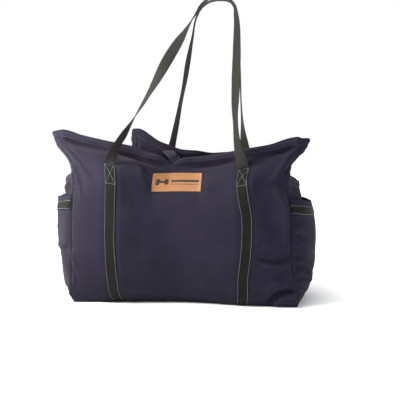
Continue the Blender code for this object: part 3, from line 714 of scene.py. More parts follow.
def tube(name, path, radius, finish, body="bag", closed=False):
    """A round cord of cloth, such as piping or a folded edge, along a path of points."""
    sides = 12
    path = np.asarray(path)
    if closed:
        along = np.roll(path, -1, axis=0) - np.roll(path, 1, axis=0)
    else:
        along = np.gradient(path, axis=0)
    along = unit(along)
    side = np.cross(along[0], (0.0, 0.0, 1.0))
    if np.linalg.norm(side) < 0.2:
        side = np.cross(along[0], (0.0, 1.0, 0.0))
    sides_along = []
    for direction in along:
        side = unit(side - direction * (side @ direction))
        sides_along.append(side)
    side = np.array(sides_along)
    other = np.cross(along, side)
    turn = np.linspace(0, math.tau, sides, endpoint=False)
    radius = np.broadcast_to(radius, (len(path),))[:, None, None]
    rings = path[:, None] + radius * (side[:, None] * np.cos(turn)[:, None]
                                      + other[:, None] * np.sin(turn)[:, None])
    count = len(path)
    rows = count if closed else count - 1
    at, spoke = np.meshgrid(np.arange(rows), np.arange(sides), indexing="ij")
    ahead, beside = (at + 1) % count, (spoke + 1) % sides
    faces = np.stack([at * sides + spoke, at * sides + beside, ahead * sides + beside,
                      ahead * sides + spoke], axis=-1).reshape(-1, 4)
    faces = faces[:, ::-1].tolist()
    vertices = rings.reshape(-1, 3)
    metres = np.zeros((count, sides, 3))
    metres[..., 1] = travelled(path)[:, None]
    metres[..., 0] = (turn * float(radius.max()))[None]
    if not closed:
        faces.append(list(range(sides)))
        faces.append(list(range(len(vertices) - 1, len(vertices) - 1 - sides, -1)))
    return build_mesh(name, vertices, faces, metres.reshape(-1, 3), finish, body)


def stitch_line(sheet, u, v, lift=0.0, pitch=STITCH_PITCH, length=STITCH_LENGTH):
    """Starts, ends and outward directions of the stitches along a line of shares on a sheet."""
    u, v = np.broadcast_arrays(np.asarray(u, float), np.asarray(v, float))
    if len(u) == 2:
        share = np.linspace(0, 1, 120)
        u, v = u[0] + (u[1] - u[0]) * share, v[0] + (v[1] - v[0]) * share
    line, above = sheet.at(u, v, lift), sheet.at(u, v, lift + 0.001)
    passed = travelled(line)
    count = max(1, int(passed[-1] / pitch))
    begin = (np.arange(count) + 0.5) * passed[-1] / count - length / 2

    def along(grid, place):
        return np.stack([np.interp(place, passed, grid[:, axis]) for axis in range(3)], axis=1)

    return along(line, begin), along(line, begin + length), unit(along(above - line, begin + length / 2))


def sew(name, lines, finish, body="bag", radius=THREAD_RADIUS):
    """Every stitch of the given lines as one piece: short rounded lengths of thread, their ends sunk."""
    starts, ends, outward = (np.concatenate(part) for part in zip(*lines))
    along = ends - starts
    side = unit(np.cross(along, outward))
    place = np.array([0.0, 0.1, 0.35, 0.65, 0.9, 1.0])
    thick = np.array([0.35, 0.85, 1.0, 1.0, 0.85, 0.35]) * radius
    rise = np.array([-0.9, 0.0, 0.45, 0.45, 0.0, -0.9]) * radius
    spokes = 6
    turn = np.linspace(0, math.tau, spokes, endpoint=False)
    middle = starts[:, None] + along[:, None] * place[:, None] + outward[:, None] * rise[:, None]
    round_it = side[:, None, None] * np.cos(turn)[:, None] + outward[:, None, None] * np.sin(turn)[:, None]
    vertices = middle[:, :, None] + round_it * thick[:, None, None]
    rings = len(place)
    ring, spoke = np.meshgrid(np.arange(rings - 1), np.arange(spokes), indexing="ij")
    beside = (spoke + 1) % spokes
    one = np.stack([ring * spokes + spoke, (ring + 1) * spokes + spoke,
                    (ring + 1) * spokes + beside, ring * spokes + beside], axis=-1).reshape(-1, 4)
    each = np.arange(len(starts))[:, None, None] * rings * spokes
    faces = (one[None] + each).reshape(-1, 4).tolist()
    caps = [np.arange(spokes), np.arange(rings * spokes - 1, (rings - 1) * spokes - 1, -1)]
    for cap in caps:
        faces += (cap[None] + each[:, 0]).tolist()
    metres = np.zeros(vertices.shape)
    metres[..., 1] = (place * STITCH_LENGTH)[None, :, None]
    metres[..., 0] = (turn * radius)[None, None]
    return build_mesh(name, vertices.reshape(-1, 3), faces, metres.reshape(-1, 3), finish, body)


def add_node(tree, kind, inputs=(), **settings):
    """A node whose inputs are numbers, colours or other nodes' sockets, by name or place."""
    made = tree.nodes.new(kind)
    for name, value in settings.items():
        setattr(made, name, value)
    for key, value in dict(inputs).items():
        if isinstance(value, bpy.types.NodeSocket):
            tree.links.new(value, made.inputs[key])
        else:
            made.inputs[key].default_value = value
    return made


class Finish:
    """A procedural material: a Principled shader, and short ways to wire nodes into it."""

    def __init__(self, name, **constants):
        self.material = bpy.data.materials.new(name)
        self.material.use_nodes = True
        self.tree = self.material.node_tree
        self.shader = self.tree.nodes["Principled BSDF"]
        for socket, value in constants.items():
            self.shader.inputs[socket.replace("_", " ")].default_value = value

    def node(self, kind, inputs=(), **settings):
        return add_node(self.tree, kind, inputs, **settings)

    def connect(self, socket, name):
        """Wires a socket into the shader's input of the given name."""
        self.tree.links.new(socket, self.shader.inputs[name])

    def math(self, operation, first, second=0.0):
        return self.node("ShaderNodeMath", {0: first, 1: second}, operation=operation).outputs[0]

    def cloth(self):
        """Metres across and along the cloth, as two sockets, and both as a vector."""
        vector = self.node("ShaderNodeAttribute", attribute_name="cloth").outputs["Vector"]
        apart = self.node("ShaderNodeSeparateXYZ", {0: vector}).outputs
        return apart["X"], apart["Y"], vector

    def place(self):
        return self.node("ShaderNodeTexCoord").outputs["Object"]

    def noise(self, vector, scale, detail=3.0, roughness=0.55):
        inputs = {"Vector": vector, "Scale": scale, "Detail": detail, "Roughness": roughness}
        return self.node("ShaderNodeTexNoise", inputs).outputs["Fac"]

    def stretched(self, vector, scale):
        return self.node("ShaderNodeVectorMath", {0: vector, 1: scale}, operation="MULTIPLY").outputs[0]

    def remap(self, value, low, high, start=0.3, end=0.7):
        inputs = {"Value": value, "From Min": start, "From Max": end, "To Min": low, "To Max": high}
        return self.node("ShaderNodeMapRange", inputs).outputs[0]

    def blend(self, share, first, second):
        """A colour between two, each a triple or a socket."""
        colors = [color if isinstance(color, bpy.types.NodeSocket) else (*color, 1.0)
                  for color in (first, second)]
        inputs = {0: share, 6: colors[0], 7: colors[1]}
        return self.node("ShaderNodeMix", inputs, data_type="RGBA").outputs[2]

    def color(self, socket):
        self.connect(socket, "Base Color")

    def rough(self, value, low, high):
        self.connect(self.remap(value, low, high), "Roughness")

    def bump(self, height, distance, strength=1.0):
        inputs = {"Height": height, "Distance": distance, "Strength": strength}
        self.connect(self.node("ShaderNodeBump", inputs).outputs[0], "Normal")

    def waves(self, metres, pitch, phase=0.0):
        turned = self.math("MULTIPLY_ADD", metres, math.tau / pitch)
        turned.node.inputs[2].default_value = phase
        return self.math("SINE", turned)


def canvas_finish(name, deep, worn, pitch=0.0013):
    """Plain-woven cotton canvas: crossing yarns, slubs, and cloudy fading."""
    made = Finish(name, Sheen_Weight=0.05, Sheen_Roughness=0.45, Specular_IOR_Level=0.06)
    across, along, cloth = made.cloth()
    weave = made.math("MULTIPLY", made.waves(across, pitch), made.waves(along, pitch))
    slubs = made.noise(made.stretched(cloth, (900.0, 160.0, 1.0)), 1.0, 2.0)
    cross_slubs = made.noise(made.stretched(cloth, (160.0, 900.0, 1.0)), 1.0, 2.0)
    yarn = made.math("ADD", slubs, cross_slubs)
    clouds = made.noise(made.place(), 9.0, 4.0, 0.6)
    faded = made.math("MULTIPLY", made.remap(clouds, 0.0, 1.0), 0.55)
    faded = made.math("ADD", faded, made.remap(yarn, 0.0, 0.45, 0.7, 1.3))
    made.color(made.blend(faded, deep, worn))
    made.rough(clouds, 0.74, 0.88)
    height = made.math("ADD", made.math("MULTIPLY", weave, 0.5), made.math("MULTIPLY", yarn, 0.6))
    made.bump(height, 0.00022, 0.65)
    return made.material


def webbing_finish(name, deep, worn):
    """Flat woven webbing: ribs along it, a finer cross beat, and rubbed high yarns."""
    made = Finish(name, Sheen_Weight=0.03, Sheen_Roughness=0.4, Specular_IOR_Level=0.1)
    across, along, cloth = made.cloth()
    ribs = made.waves(across, 0.0021)
    beat = made.waves(along, 0.0014)
    weave = made.math("ADD", ribs, made.math("MULTIPLY", made.math("MULTIPLY", ribs, beat), 0.8))
    fuzz = made.noise(made.stretched(cloth, (1400.0, 300.0, 1.0)), 1.0, 3.0)
    rubbed = made.math("MULTIPLY", made.remap(weave, 0.0, 1.0, -1.0, 1.8), made.remap(fuzz, 0.5, 1.0))
    made.color(made.blend(rubbed, deep, worn))
    made.rough(fuzz, 0.5, 0.66)
    made.bump(made.math("ADD", weave, fuzz), 0.0002, 0.7)
    return made.material


def thread_finish(name, deep, light):
    """Twisted polyester thread."""
    made = Finish(name, Sheen_Weight=0.3, Specular_IOR_Level=0.4)
    across, along, cloth = made.cloth()
    twist = made.waves(made.math("ADD", along, across), 0.0009)
    fuzz = made.noise(cloth, 2500.0, 2.0)
    made.color(made.blend(made.remap(made.math("ADD", twist, fuzz), 0.0, 1.0, -0.6, 1.6), deep, light))
    made.rough(fuzz, 0.48, 0.66)
    made.bump(twist, 0.00008, 0.7)
    return made.material


def inside(made, metres, half):
    """Distance outside a centred stretch of the given half length."""
    return made.math("SUBTRACT", made.math("ABSOLUTE", metres), half)


def bone_mark(made, across, along, middle):
    """1 inside a plain bone silhouette and the two bars beside it, 0 outside."""
    shaft_size, knob_place, knob_radius = (0.0095, 0.0029), (0.01, 0.004), 0.0047
    bars_place, softness = 0.0515, 0.00012
    bars = ((0.0018, 0.031, 0.0034), (-0.0084, 0.031, 0.0008))
    from_middle = made.math("SUBTRACT", across, middle)
    shaft = made.math("MAXIMUM", inside(made, from_middle, shaft_size[0]),
                      inside(made, along, shaft_size[1]))
    to_knob = inside(made, from_middle, knob_place[0])
    from_axis = inside(made, along, knob_place[1])
    squared = made.math("ADD", made.math("MULTIPLY", to_knob, to_knob),
                        made.math("MULTIPLY", from_axis, from_axis))
    knob = made.math("SUBTRACT", made.math("SQRT", squared), knob_radius)
    shape = made.math("MINIMUM", shaft, knob)
    for height, length, thick in bars:
        beside = made.math("SUBTRACT", across, middle + bars_place)
        level = made.math("SUBTRACT", along, height)
        bar = made.math("MAXIMUM", inside(made, beside, length), inside(made, level, thick))
        shape = made.math("MINIMUM", shape, bar)
    return made.remap(shape, 1.0, 0.0, -softness, softness)


def leather_finish(name):
    """Tan leather with a long grain and a burnt-in mark."""
    made = Finish(name, Specular_IOR_Level=0.35, Coat_Weight=0.06, Coat_Roughness=0.5)
    across, along, cloth = made.cloth()
    grain = made.noise(made.stretched(cloth, (90.0, 900.0, 1.0)), 1.0, 4.0, 0.6)
    pores = made.noise(cloth, 1500.0, 3.0)
    clouds = made.noise(made.place(), 42.0, 3.0)
    tone = made.math("ADD", made.remap(grain, 0.0, 0.6), made.remap(clouds, 0.0, 0.4))
    tan = made.blend(tone, (0.212, 0.088, 0.032), (0.31, 0.144, 0.057))
    height = made.math("ADD", grain, made.math("MULTIPLY", pores, 0.5))
    burnt = bone_mark(made, across, along, -0.0345)
    height = made.math("SUBTRACT", height, made.math("MULTIPLY", burnt, 1.4))
    made.color(made.blend(burnt, tan, (0.018, 0.012, 0.009)))
    made.rough(pores, 0.5, 0.68)
    made.bump(height, 0.00022, 0.7)
    return made.material


def hard_finish(name, deep, light, roughness, metallic=0.0, grain=(60.0, 60.0, 60.0)):
    """A hard surface with fine scratches or grain and slightly uneven gloss."""
    made = Finish(name, Metallic=metallic)
    scratches = made.noise(made.stretched(made.place(), grain), 8.0, 4.0, 0.6)
    made.color(made.blend(made.remap(scratches, 0.0, 1.0), deep, light))
    made.rough(scratches, roughness - 0.08, roughness + 0.1)
    made.bump(scratches, 0.00006, 0.5)
    return made.material


def build_panel(name, sheet, grid, replaced, finish):
    """The canvas of a panel or a pocket, behind the whole of its sheet."""
    u, v = shares(grid)
    piece = shell(name, sheet.at(u, v), sheet.at(u, v, -CANVAS), finish)
    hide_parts(replaced)
    return piece


def build_panels(sheets, finish):
    """The canvas of the four panels."""
    for side, sheet in sheets.items():
        grid = for_panel(side, PANEL_GRID, END_GRID)
        build_panel(side + "_canvas", sheet, grid, side + "_panel", finish)


def edge_path(sheet, necks):
    """The free edge of a front or back panel: up one ear, along the rim and down the other ear."""
    count = 420
    u = np.concatenate([np.zeros(count // 4), np.linspace(0, 1, count // 2), np.ones(count // 4)])
    up = np.linspace(necks[0], 1, count // 4, endpoint=False)
    down = np.linspace(1, necks[1], count // 4 + 1)[1:]
    v = np.concatenate([up, np.ones(count // 2), down])
    return sheet.at(u, v, -FOLD_RADIUS)


def build_edges(sheets, finish):
    """Folded rims and hems, where the canvas turns over to the facing."""
    hem_u = np.linspace(0.0, 1.0, HEM_COLUMNS)
    paths = {
        "front": edge_path(sheets["front"], FRONT_NECKS), "back": edge_path(sheets["back"], BACK_NECKS),
        "left_end": sheets["left_end"].at(hem_u, 1.0, -FOLD_RADIUS),
        "right_end": sheets["right_end"].at(hem_u, 1.0, -FOLD_RADIUS),
    }
    for side, path in paths.items():
        tube(side + "_edge_fold", path, FOLD_RADIUS, finish)


def build_corner_seams(finish):
    """The rolled seams down the four corners and round the base."""
    start, past_neck = 0.004, 0.01
    for name, (seam, ear) in CORNERS.items():
        path = smooth(seam + ear, np.linspace(start, neck_share(seam, ear) + past_neck, 130))
        tube(name + "_corner_seam", path, PIPING_RADIUS, finish)
    share = np.linspace(0, 1, 61)[:-1]
    ring = np.concatenate([smooth(FRONT_BASE, share), smooth(RIGHT_BASE, share),
                           smooth(BACK_BASE[::-1], share), smooth(LEFT_BASE[::-1], share)])
    middle, drawn_in = ring.mean(axis=0), 0.992
    ring = middle + (ring - middle) * drawn_in + UPWARD * PIPING_RADIUS
    tube("base_seam", ring, PIPING_RADIUS, finish, closed=True)


def base_grid(grid, inset):
    """Points over the base's outline at height 0, moved in from it by inset."""
    u, v = shares(grid)
    points = coons(LEFT_BASE, RIGHT_BASE, FRONT_BASE, BACK_BASE, u, v)
    low, high = points.min(axis=(0, 1)), points.max(axis=(0, 1))
    middle, reach = (low + high) / 2, np.maximum((high - low) / 2, 1e-6)
    return middle + (points - middle) * np.clip((reach - inset) / reach, 0, 1)


def build_base(canvas):
    """The flat canvas below the board, drawn in a little from the base seam."""
    flat = base_grid((60, 30), BASE_INSET)
    piece = shell("base_canvas", flat + UPWARD * CANVAS, flat + UPWARD * LAID_ON, canvas)
    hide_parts("base_panel")


def mat_thickness(u, v):
    """Half thickness of the quilted mat: rolled edges, a soft crown, and sewn diamond channels."""
    width, depth = MAT_SIZE
    edge = np.minimum(np.minimum(u, 1 - u) * width, np.minimum(v, 1 - v) * depth)
    rolled = np.sqrt(1 - (1 - np.clip(edge / MAT_EDGE, 0, 1)) ** 2 * 0.98)
    across, along = (u - 0.5) * width, (v - 0.5) * depth
    channels = np.zeros_like(u)
    for slant in (across + along, across - along):
        gap = np.abs((slant / QUILT_PITCH + 0.5) % 1.0 - 0.5) * QUILT_PITCH
        channels = np.maximum(channels, bell(gap, 0, QUILT_WIDTH))
    inside_edge = smoothstep((edge - MAT_EDGE - 0.001) / 0.006)
    return MAT / 2 * rolled * (1 - QUILT_DEPTH * channels * inside_edge)


def build_mat(cover, piping):
    """The quilted mat on the board, a little flatter below than above, with its piping."""
    room, below = 0.0006, 0.98
    grid = base_grid(MAT_GRID, MAT_INSET + room)
    middle = grid + UPWARD * (CANVAS + BOARD + 2 * PLAY + MAT / 2)
    half = mat_thickness(*shares(MAT_GRID))[..., None] * UPWARD
    piece = shell("quilted_mat", middle + half, middle - half * below, cover, "base_mat")
    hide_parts("base_mat")
    ring = np.concatenate([middle[0, :-1], middle[:-1, -1], middle[-1, :0:-1], middle[:0:-1, 0]])
    tube("mat_piping", ring, MAT_PIPING, piping, "base_mat", closed=True)


def build_linings(sheets, finish):
    """The linings hang a little slack behind the canvas, but not at their edges."""
    behind = -(CANVAS + LAYER_PLAY)
    slack = 0.0009
    for side, sheet in sheets.items():
        trim = for_panel(side, *LINING_TRIM)
        u, v = shares(LINING_GRID, (trim, 1 - trim), (0.012, LINING_TOP + 0.012))
        sag = unevenness(u, v, PANEL_SIZE, len(side), slack, 0.06) - slack
        sag = sag * smoothstep(np.minimum(np.minimum(u, 1 - u), LINING_TOP - 0.03 - v) / 0.08)
        outer = sheet.at(u, v, behind + sag)
        piece = shell(side + "_inner_lining", outer, sheet.at(u, v, behind + sag - LINING), finish)
        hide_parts(side + "_lining")


def build_facings(sheets, finish):
    """The turned-in strips that back the rims and hems."""
    high = -(CANVAS + PLAY)
    low = high - FACING - LAYER_PLAY - LINING
    for side, sheet in sheets.items():
        columns = for_panel(side, PANEL_GRID, END_GRID)[0]
        trim = for_panel(side, *FACING_TRIM)
        u, v = shares((columns, 20), (trim, 1 - trim), (LINING_TOP - 0.01, 0.997))
        outer, inner = sheet.at(u, v, high), sheet.at(u, v, low)
        if side == "front":
            outer, inner = round_magnet(outer, inner, "rim_magnet")
        piece = shell(side + "_turned_facing", outer, inner, finish)
        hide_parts(side + "_facing")


def width_share(surface, u, v):
    """How much of a panel's width one metre across it is, at shares u and v."""
    step = 0.004
    return 2 * step / np.linalg.norm(surface(u + step, v) - surface(u - step, v), axis=-1)


def webbing_middle(name):
    """The middle line of a webbing run, as (v, u) pairs in its own panel's shares, and its top."""
    run, top = WEBBING_RUNS[name]
    return (run, top) if name.startswith("front") else ([(v, 1 - u) for v, u in run], top)


def build_webbing(sheets, finish, thread):
    """The webbing sewn up the panels, each run meeting the foot of a handle, and its stitches."""
    lines = []
    for name in WEBBING_RUNS:
        side, end = name.split("_")
        surface, sheet = {"front": front, "back": back}[side], sheets[side]
        middle, top = webbing_middle(name)
        v = np.linspace(0.01, top + 0.004, WEBBING_ROWS)
        u = profile(middle, v)
        half = WEBBING_WIDTH / 2 * width_share(surface, u, v)
        across = bunched(STRAP_COLUMNS)
        grid_u, grid_v = u[:, None] + half[:, None] * across, v[:, None] + 0 * across
        level = LAID_ON + WEBBING / 2
        half_thick = WEBBING / 2 * rounded_edges(across)
        outer = sheet.at(grid_u, grid_v, level + half_thick)
        inner = sheet.at(grid_u, grid_v, level - half_thick)
        outer, inner = meet_handle(outer, inner, v, *handle_foot(side, end))
        piece = shell(name + "_strap", outer, inner, finish)
        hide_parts(name + "_webbing")
        lines += webbing_stitches(Sheet(outer))
    sew("webbing_stitches", lines, thread)


def handle_foot(side, end):
    """The outer and inner edge of a handle where it rises from a webbing run, left to right."""
    outer, inner = handle_faces(side)
    row = 0 if end == "left" else -1
    return outer[row], inner[row]


def meet_handle(outer, inner, v, outer_foot, inner_foot):
    """Bends the top of a webbing run so that its last row is the handle's first."""
    if (outer_foot[-1] - outer_foot[0]) @ (outer[-1, -1] - outer[-1, 0]) < 0:
        outer_foot, inner_foot = outer_foot[::-1], inner_foot[::-1]
    middle = STRAP_COLUMNS // 2
    if (outer_foot - inner_foot)[middle] @ (outer - inner)[-1, middle] < 0:
        outer_foot, inner_foot = inner_foot, outer_foot
    bend = 0.03
    share = smoothstep((v - v[-1] + bend) / bend)[:, None, None]
    return outer + share * (outer_foot - outer[-1]), inner + share * (inner_foot - inner[-1])


def webbing_stitches(face):
    """Both edges of a sewn run, and the crossed box at its top, on the strap's own outer face."""
    inner, count = 0.84, 60
    length = travelled(face.points[:, face.points.shape[1] // 2])[-1]
    low, high = 1 - (BOX_STITCH + BOX_DROP) / length, 1 - BOX_DROP / length
    corners = [(-inner, low), (inner, low), (-inner, high), (inner, high)]
    ends = [((-inner, 0.004), (-inner, high)), ((inner, 0.004), (inner, high))]
    ends += [(corners[first], corners[second]) for first, second in ((0, 1), (2, 3), (0, 3), (1, 2))]
    lines = []
    for (across_start, up_start), (across_end, up_end) in ends:
        across = 0.5 + np.arcsin(np.linspace(across_start, across_end, count)) / math.pi
        lines.append(stitch_line(face, across, np.linspace(up_start, up_end, count), STITCH_LIFT))
    return lines


def strap_grid(line, side, width, thickness, columns, cup=0.0007):
    """Outer and inner points of a free strap: slightly cupped, with rounded edges."""
    along = np.gradient(line, axis=0)
    outward = unit(np.cross(side, along))
    across = bunched(columns)
    half = thickness / 2 * rounded_edges(across)
    width = np.broadcast_to(width, (len(line),))
    middle = line[:, None] + side[:, None] * (across * width[:, None] / 2)[..., None]
    middle = middle + outward[:, None] * (cup * (across ** 2 - 0.5))[:, None]
    lift = outward[:, None] * half[:, None]
    return middle + lift, middle - lift


def handle_lines(route, twist):
    """A handle's middle line and the direction of its width, as the CAD model turns it."""
    share = np.linspace(0, 1, STRAP_ROWS)
    line = smooth(route, share)
    along = unit(np.gradient(line, axis=0))
    depth = np.array([0.0, 1.0, 0.0])
    level = unit(depth - along * (along @ depth)[:, None])
    flat = np.cross(level, along)
    turn = np.radians(profile(twist, share))[:, None]
    return line, flat * np.cos(turn) + level * np.sin(turn)


def handle_faces(side):
    """Outer and inner points of the front or the back handle's strap."""
    line, across = handle_lines(*HANDLES[side])
    return strap_grid(line, across, WEBBING_WIDTH, HANDLE_THICKNESS, STRAP_COLUMNS)


def build_handles(finish):
    """The straps of the front and the back handle, each left on no body."""
    for side, (route, _) in HANDLES.items():
        name = side + "_handle"
        piece = shell(name + "_strap", *handle_faces(side), finish, None)
        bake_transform(piece)
        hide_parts(name)


def pocket_sheet(end_sheet, mouth, folds, seed):
    """A patch pocket's outer face over an end panel, in shares of the pocket's own height."""
    u, v = shares(END_GRID)
    room = profile(POCKET_GAP, v) * (1 - np.abs(2 * u - 1) ** 4)
    size = (END_SIZE[0], END_SIZE[1] * mouth)
    relief = unevenness(u, v, size, seed, 0.0011, 0.07)
    for line in folds:
        relief += fold(u, v, size, *line)
    seam = np.minimum(np.minimum(u, 1 - u) * size[0], v * size[1])
    relief *= smoothstep(seam / 0.009)
    relief += hem((1 - v) * size[1], POCKET_HEM)
    lift = CANVAS + PLAY + room + np.maximum(relief, -room)
    return Sheet(end_sheet.at(u, v * mouth * 0.995 + 0.004, lift))


def build_pockets(sheets, canvas, webbing, thread, plain_thread):
    """Patch pockets on the end panels, each with a hem and a sewn band of webbing below its mouth."""
    lines, hems = [], []
    ends, hem_row, row_inset = (0.008, 0.992), 0.958, 0.11
    for side, folds, seed in (("left", LEFT_POCKET_FOLDS, 41), ("right", RIGHT_POCKET_FOLDS, 43)):
        mouth = POCKET_MOUTH[side]
        sheet = pocket_sheet(sheets[side + "_end"], mouth, folds, seed)
        build_panel(side + "_pocket_canvas", sheet, END_GRID, side + "_pocket", canvas)
        fold_path = sheet.at(np.linspace(0.0, 1.0, HEM_COLUMNS), 1.0, -CANVAS / 2)
        tube(side + "_pocket_hem", fold_path, POCKET_FOLD_RADIUS, canvas)
        high = (mouth - BINDING_DROP) / mouth
        low = high - BINDING_SHARE / mouth
        u, v = shares(BAND_GRID, (0.004, 0.996), (low, high))
        band = layer(side + "_pocket_band", sheet, u, v, BINDING, webbing, soften=1.6)
        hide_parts(side + "_pocket_binding")
        inset = (high - low) * row_inset
        for height in (low + inset, high - inset):
            lines.append(stitch_line(sheet, ends, (height, height), LAID_ON + BINDING + STITCH_LIFT))
        hems.append(stitch_line(sheet, ends, (hem_row, hem_row), 0.0))
    sew("pocket_band_stitches", lines, thread)
    sew("pocket_hem_stitches", hems, plain_thread)


def free_edge_line(necks, inset):
    """Shares of a line that follows a panel's free edge at a distance inside it."""
    across, upward = inset / PANEL_SIZE[0], inset / PANEL_SIZE[1]
    count = 90
    up = np.linspace(necks[0] + upward, 1 - upward, count)
    down = np.linspace(1 - upward, necks[1] + upward, count)
    rim = np.linspace(across, 1 - across, 3 * count)
    u = np.concatenate([np.full(count, across), rim, np.full(count, 1 - across)])
    v = np.concatenate([up, np.full(3 * count, 1 - upward), down])
    return u, v


def build_canvas_stitches(sheets, thread):
    """Rows of thread along the hems, beside the corner seams, and inside along the facings."""
    lines = []
    inner_face = -(CANVAS + FACING + LAYER_PLAY + LINING + 0.0006)
    beside_seam = 0.006
    for side, necks in (("front", FRONT_NECKS), ("back", BACK_NECKS)):
        sheet = sheets[side]
        for inset in (OUTER_ROW, HEM_WIDTH):
            lines.append(stitch_line(sheet, *free_edge_line(necks, inset), STITCH_LIFT))
        lines.append(reversed_line(stitch_line(sheet, *free_edge_line(necks, HEM_WIDTH), inner_face)))
        for across, neck in ((beside_seam, necks[0]), (1 - beside_seam, necks[1])):
            lines.append(stitch_line(sheet, (across, across), (0.02, neck - 0.01), LAID_ON))
    for side in ("left_end", "right_end"):
        for inset in (OUTER_ROW, HEM_WIDTH):
            height = 1 - inset / END_SIZE[1]
            lines.append(stitch_line(sheets[side], (0.012, 0.988), (height, height), STITCH_LIFT))
    sew("canvas_stitches", lines, thread, radius=FINE_THREAD)


def reversed_line(line):
    """The same stitches, standing out of the other face."""
    starts, ends, outward = line
    return starts, ends, -outward


def shares_under(sheet, x, z):
    """Shares of the points of a sheet that stand at the given x and z, found step by step."""
    u, v = np.full_like(x, sum(LABEL_U) / 2), np.full_like(x, sum(LABEL_V) / 2)
    step = 0.01
    for _ in range(12):
        here = sheet.at(u, v)
        by_u = (sheet.at(u + step, v) - sheet.at(u - step, v)) / (2 * step)
        by_v = (sheet.at(u, v + step) - sheet.at(u, v - step)) / (2 * step)
        miss_x, miss_z = x - here[..., 0], z - here[..., 2]
        scale = by_u[..., 0] * by_v[..., 2] - by_u[..., 2] * by_v[..., 0]
        u = u + 0.8 * (miss_x * by_v[..., 2] - miss_z * by_v[..., 0]) / scale
        v = v + 0.8 * (miss_z * by_u[..., 0] - miss_x * by_u[..., 2]) / scale
    return u, v


def label_place(across, along):
    """The x and z of a point of the label, given in metres from its middle."""
    x = LABEL_MIDDLE[0] + across * math.cos(LABEL_TILT) - along * math.sin(LABEL_TILT)
    z = LABEL_MIDDLE[1] + across * math.sin(LABEL_TILT) + along * math.cos(LABEL_TILT)
    return x, z


def rounded_rectangle(width, height, radius, columns, rows):
    """Grids of x and y over a centred rectangle with rounded corners."""
    x, y = bunched(columns), bunched(rows)
    into_corner = np.maximum(0, np.abs(y) * height / 2 - (height / 2 - radius))
    reach = width / 2 - radius + np.sqrt(np.maximum(radius ** 2 - into_corner ** 2, 0))
    return x[None, :] * reach[:, None], (y * height / 2)[:, None] + 0 * x


def label_wave(across):
    """The label's leather waves slightly along its length."""
    return 0.0004 * (1 + np.sin(math.tau * across / 0.075 + 0.8))


def steps_from_end(count):
    """How many steps each of count places in a row is from the nearer end."""
    place = np.arange(count)
    return np.minimum(place, place[::-1])


def build_label(sheet, leather, thread):
    """The leather label and its four rows of stitches, the long sides first."""
    columns, rows, sunk = 110, 44, 0.0003
    across, along = rounded_rectangle(*LABEL_SIZE, LABEL_CORNER, columns, rows)
    u, v = shares_under(sheet, *label_place(across, along))
    edge = np.minimum(steps_from_end(columns)[None, :], steps_from_end(rows)[:, None])
    rounded = LABEL_THICKNESS - 0.0005 * np.clip(1 - edge / 3, 0, 1) ** 2
    wave = label_wave(across)
    piece = shell("leather_label", sheet.at(u, v, wave + rounded), sheet.at(u, v, wave - sunk), leather)
    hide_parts("label")
    half_x, half_z = (length / 2 - LABEL_ROW for length in LABEL_SIZE)
    sides = [((-half_x, half_x), (z, z)) for z in (-half_z, half_z)]
    sides += [((x, x), (-half_z, half_z)) for x in (-half_x, half_x)]
    lines = []
    for x_ends, z_ends in sides:
        x, z = np.linspace(*x_ends, 60), np.linspace(*z_ends, 60)
        place = shares_under(sheet, *label_place(x, z))
        lines.append(stitch_line(sheet, *place, LABEL_THICKNESS + label_wave(x), *LABEL_STITCH))
    sew("label_stitches", lines, thread, radius=LABEL_THREAD)


def round_magnet(outer, inner, node):
    """Swells a layer's two faces so that they pass either side of a magnet sewn into it."""
    margin, slope, cover = 0.006, 0.0045, 0.0013
    middle = np.array(sum(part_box(node), Vector()) / 2)
    through = unit(outer - inner)
    above, below = (((face - middle) * through).sum(axis=-1) for face in (outer, inner))
    beside = np.linalg.norm(outer - middle - above[..., None] * through, axis=-1)
    near = smoothstep((MAGNET_RADIUS + margin - beside) / slope)
    needed = MAGNET_HEIGHT / 2 + cover
    rise = near * np.maximum(needed - above, 0)
    drop = near * np.maximum(needed + below, 0)
    return outer + rise[..., None] * through, inner - drop[..., None] * through


def build_tab(canvas, thread):
    """The closure tab: two layers of canvas with a rounded end, stitched round its edge."""
    share = np.linspace(0, 1, 90)
    line = smooth(TAB_ROUTE, share)
    along = unit(np.gradient(line, axis=0))
    side = unit(np.array([1.0, 0.0, 0.0]) - along * along[:, :1])
    length = travelled(line)[-1]
    into_end = np.clip((share * length - (length - TAB_WIDTH / 2)) / (TAB_WIDTH / 2), 0, 0.985)
    width = TAB_WIDTH * np.sqrt(1 - into_end ** 2)
    outer, inner = strap_grid(line, side, width, TAB_THICKNESS, 17, cup=0.0004)
    outer, inner = round_magnet(outer, inner, "tab_magnet")
    piece = shell("snap_tab", outer, inner, canvas, "closure_tab")
    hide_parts("closure_tab")
    rows = []
    for sheet in (Sheet(outer), Sheet(inner[:, ::-1])):
        rows += [stitch_line(sheet, (u, u), (0.03, 0.93), STITCH_LIFT) for u in (0.13, 0.87)]
        rows.append(stitch_line(sheet, (0.2, 0.8), (0.955, 0.955), STITCH_LIFT))
    sew("tab_stitches", rows, thread, "closure_tab", FINE_THREAD)


def dress_cad_nodes(finishes):
    """The hard pieces keep their CAD shape and get a better material."""
    for node, finish in finishes.items():
        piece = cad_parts[node]
        piece.data.materials.clear()
        piece.data.materials.append(finish)


def over_rim_magnet(u, v):
    """How much of the front panel's relief is left round the magnet behind its rim."""
    margin, slope = 0.003, 0.01
    away = np.hypot((u - DIP_PLACE) * PANEL_SIZE[0], (v - RIM_MAGNET_V) * PANEL_SIZE[1])
    return smoothstep((away - MAGNET_RADIUS - margin) / slope)


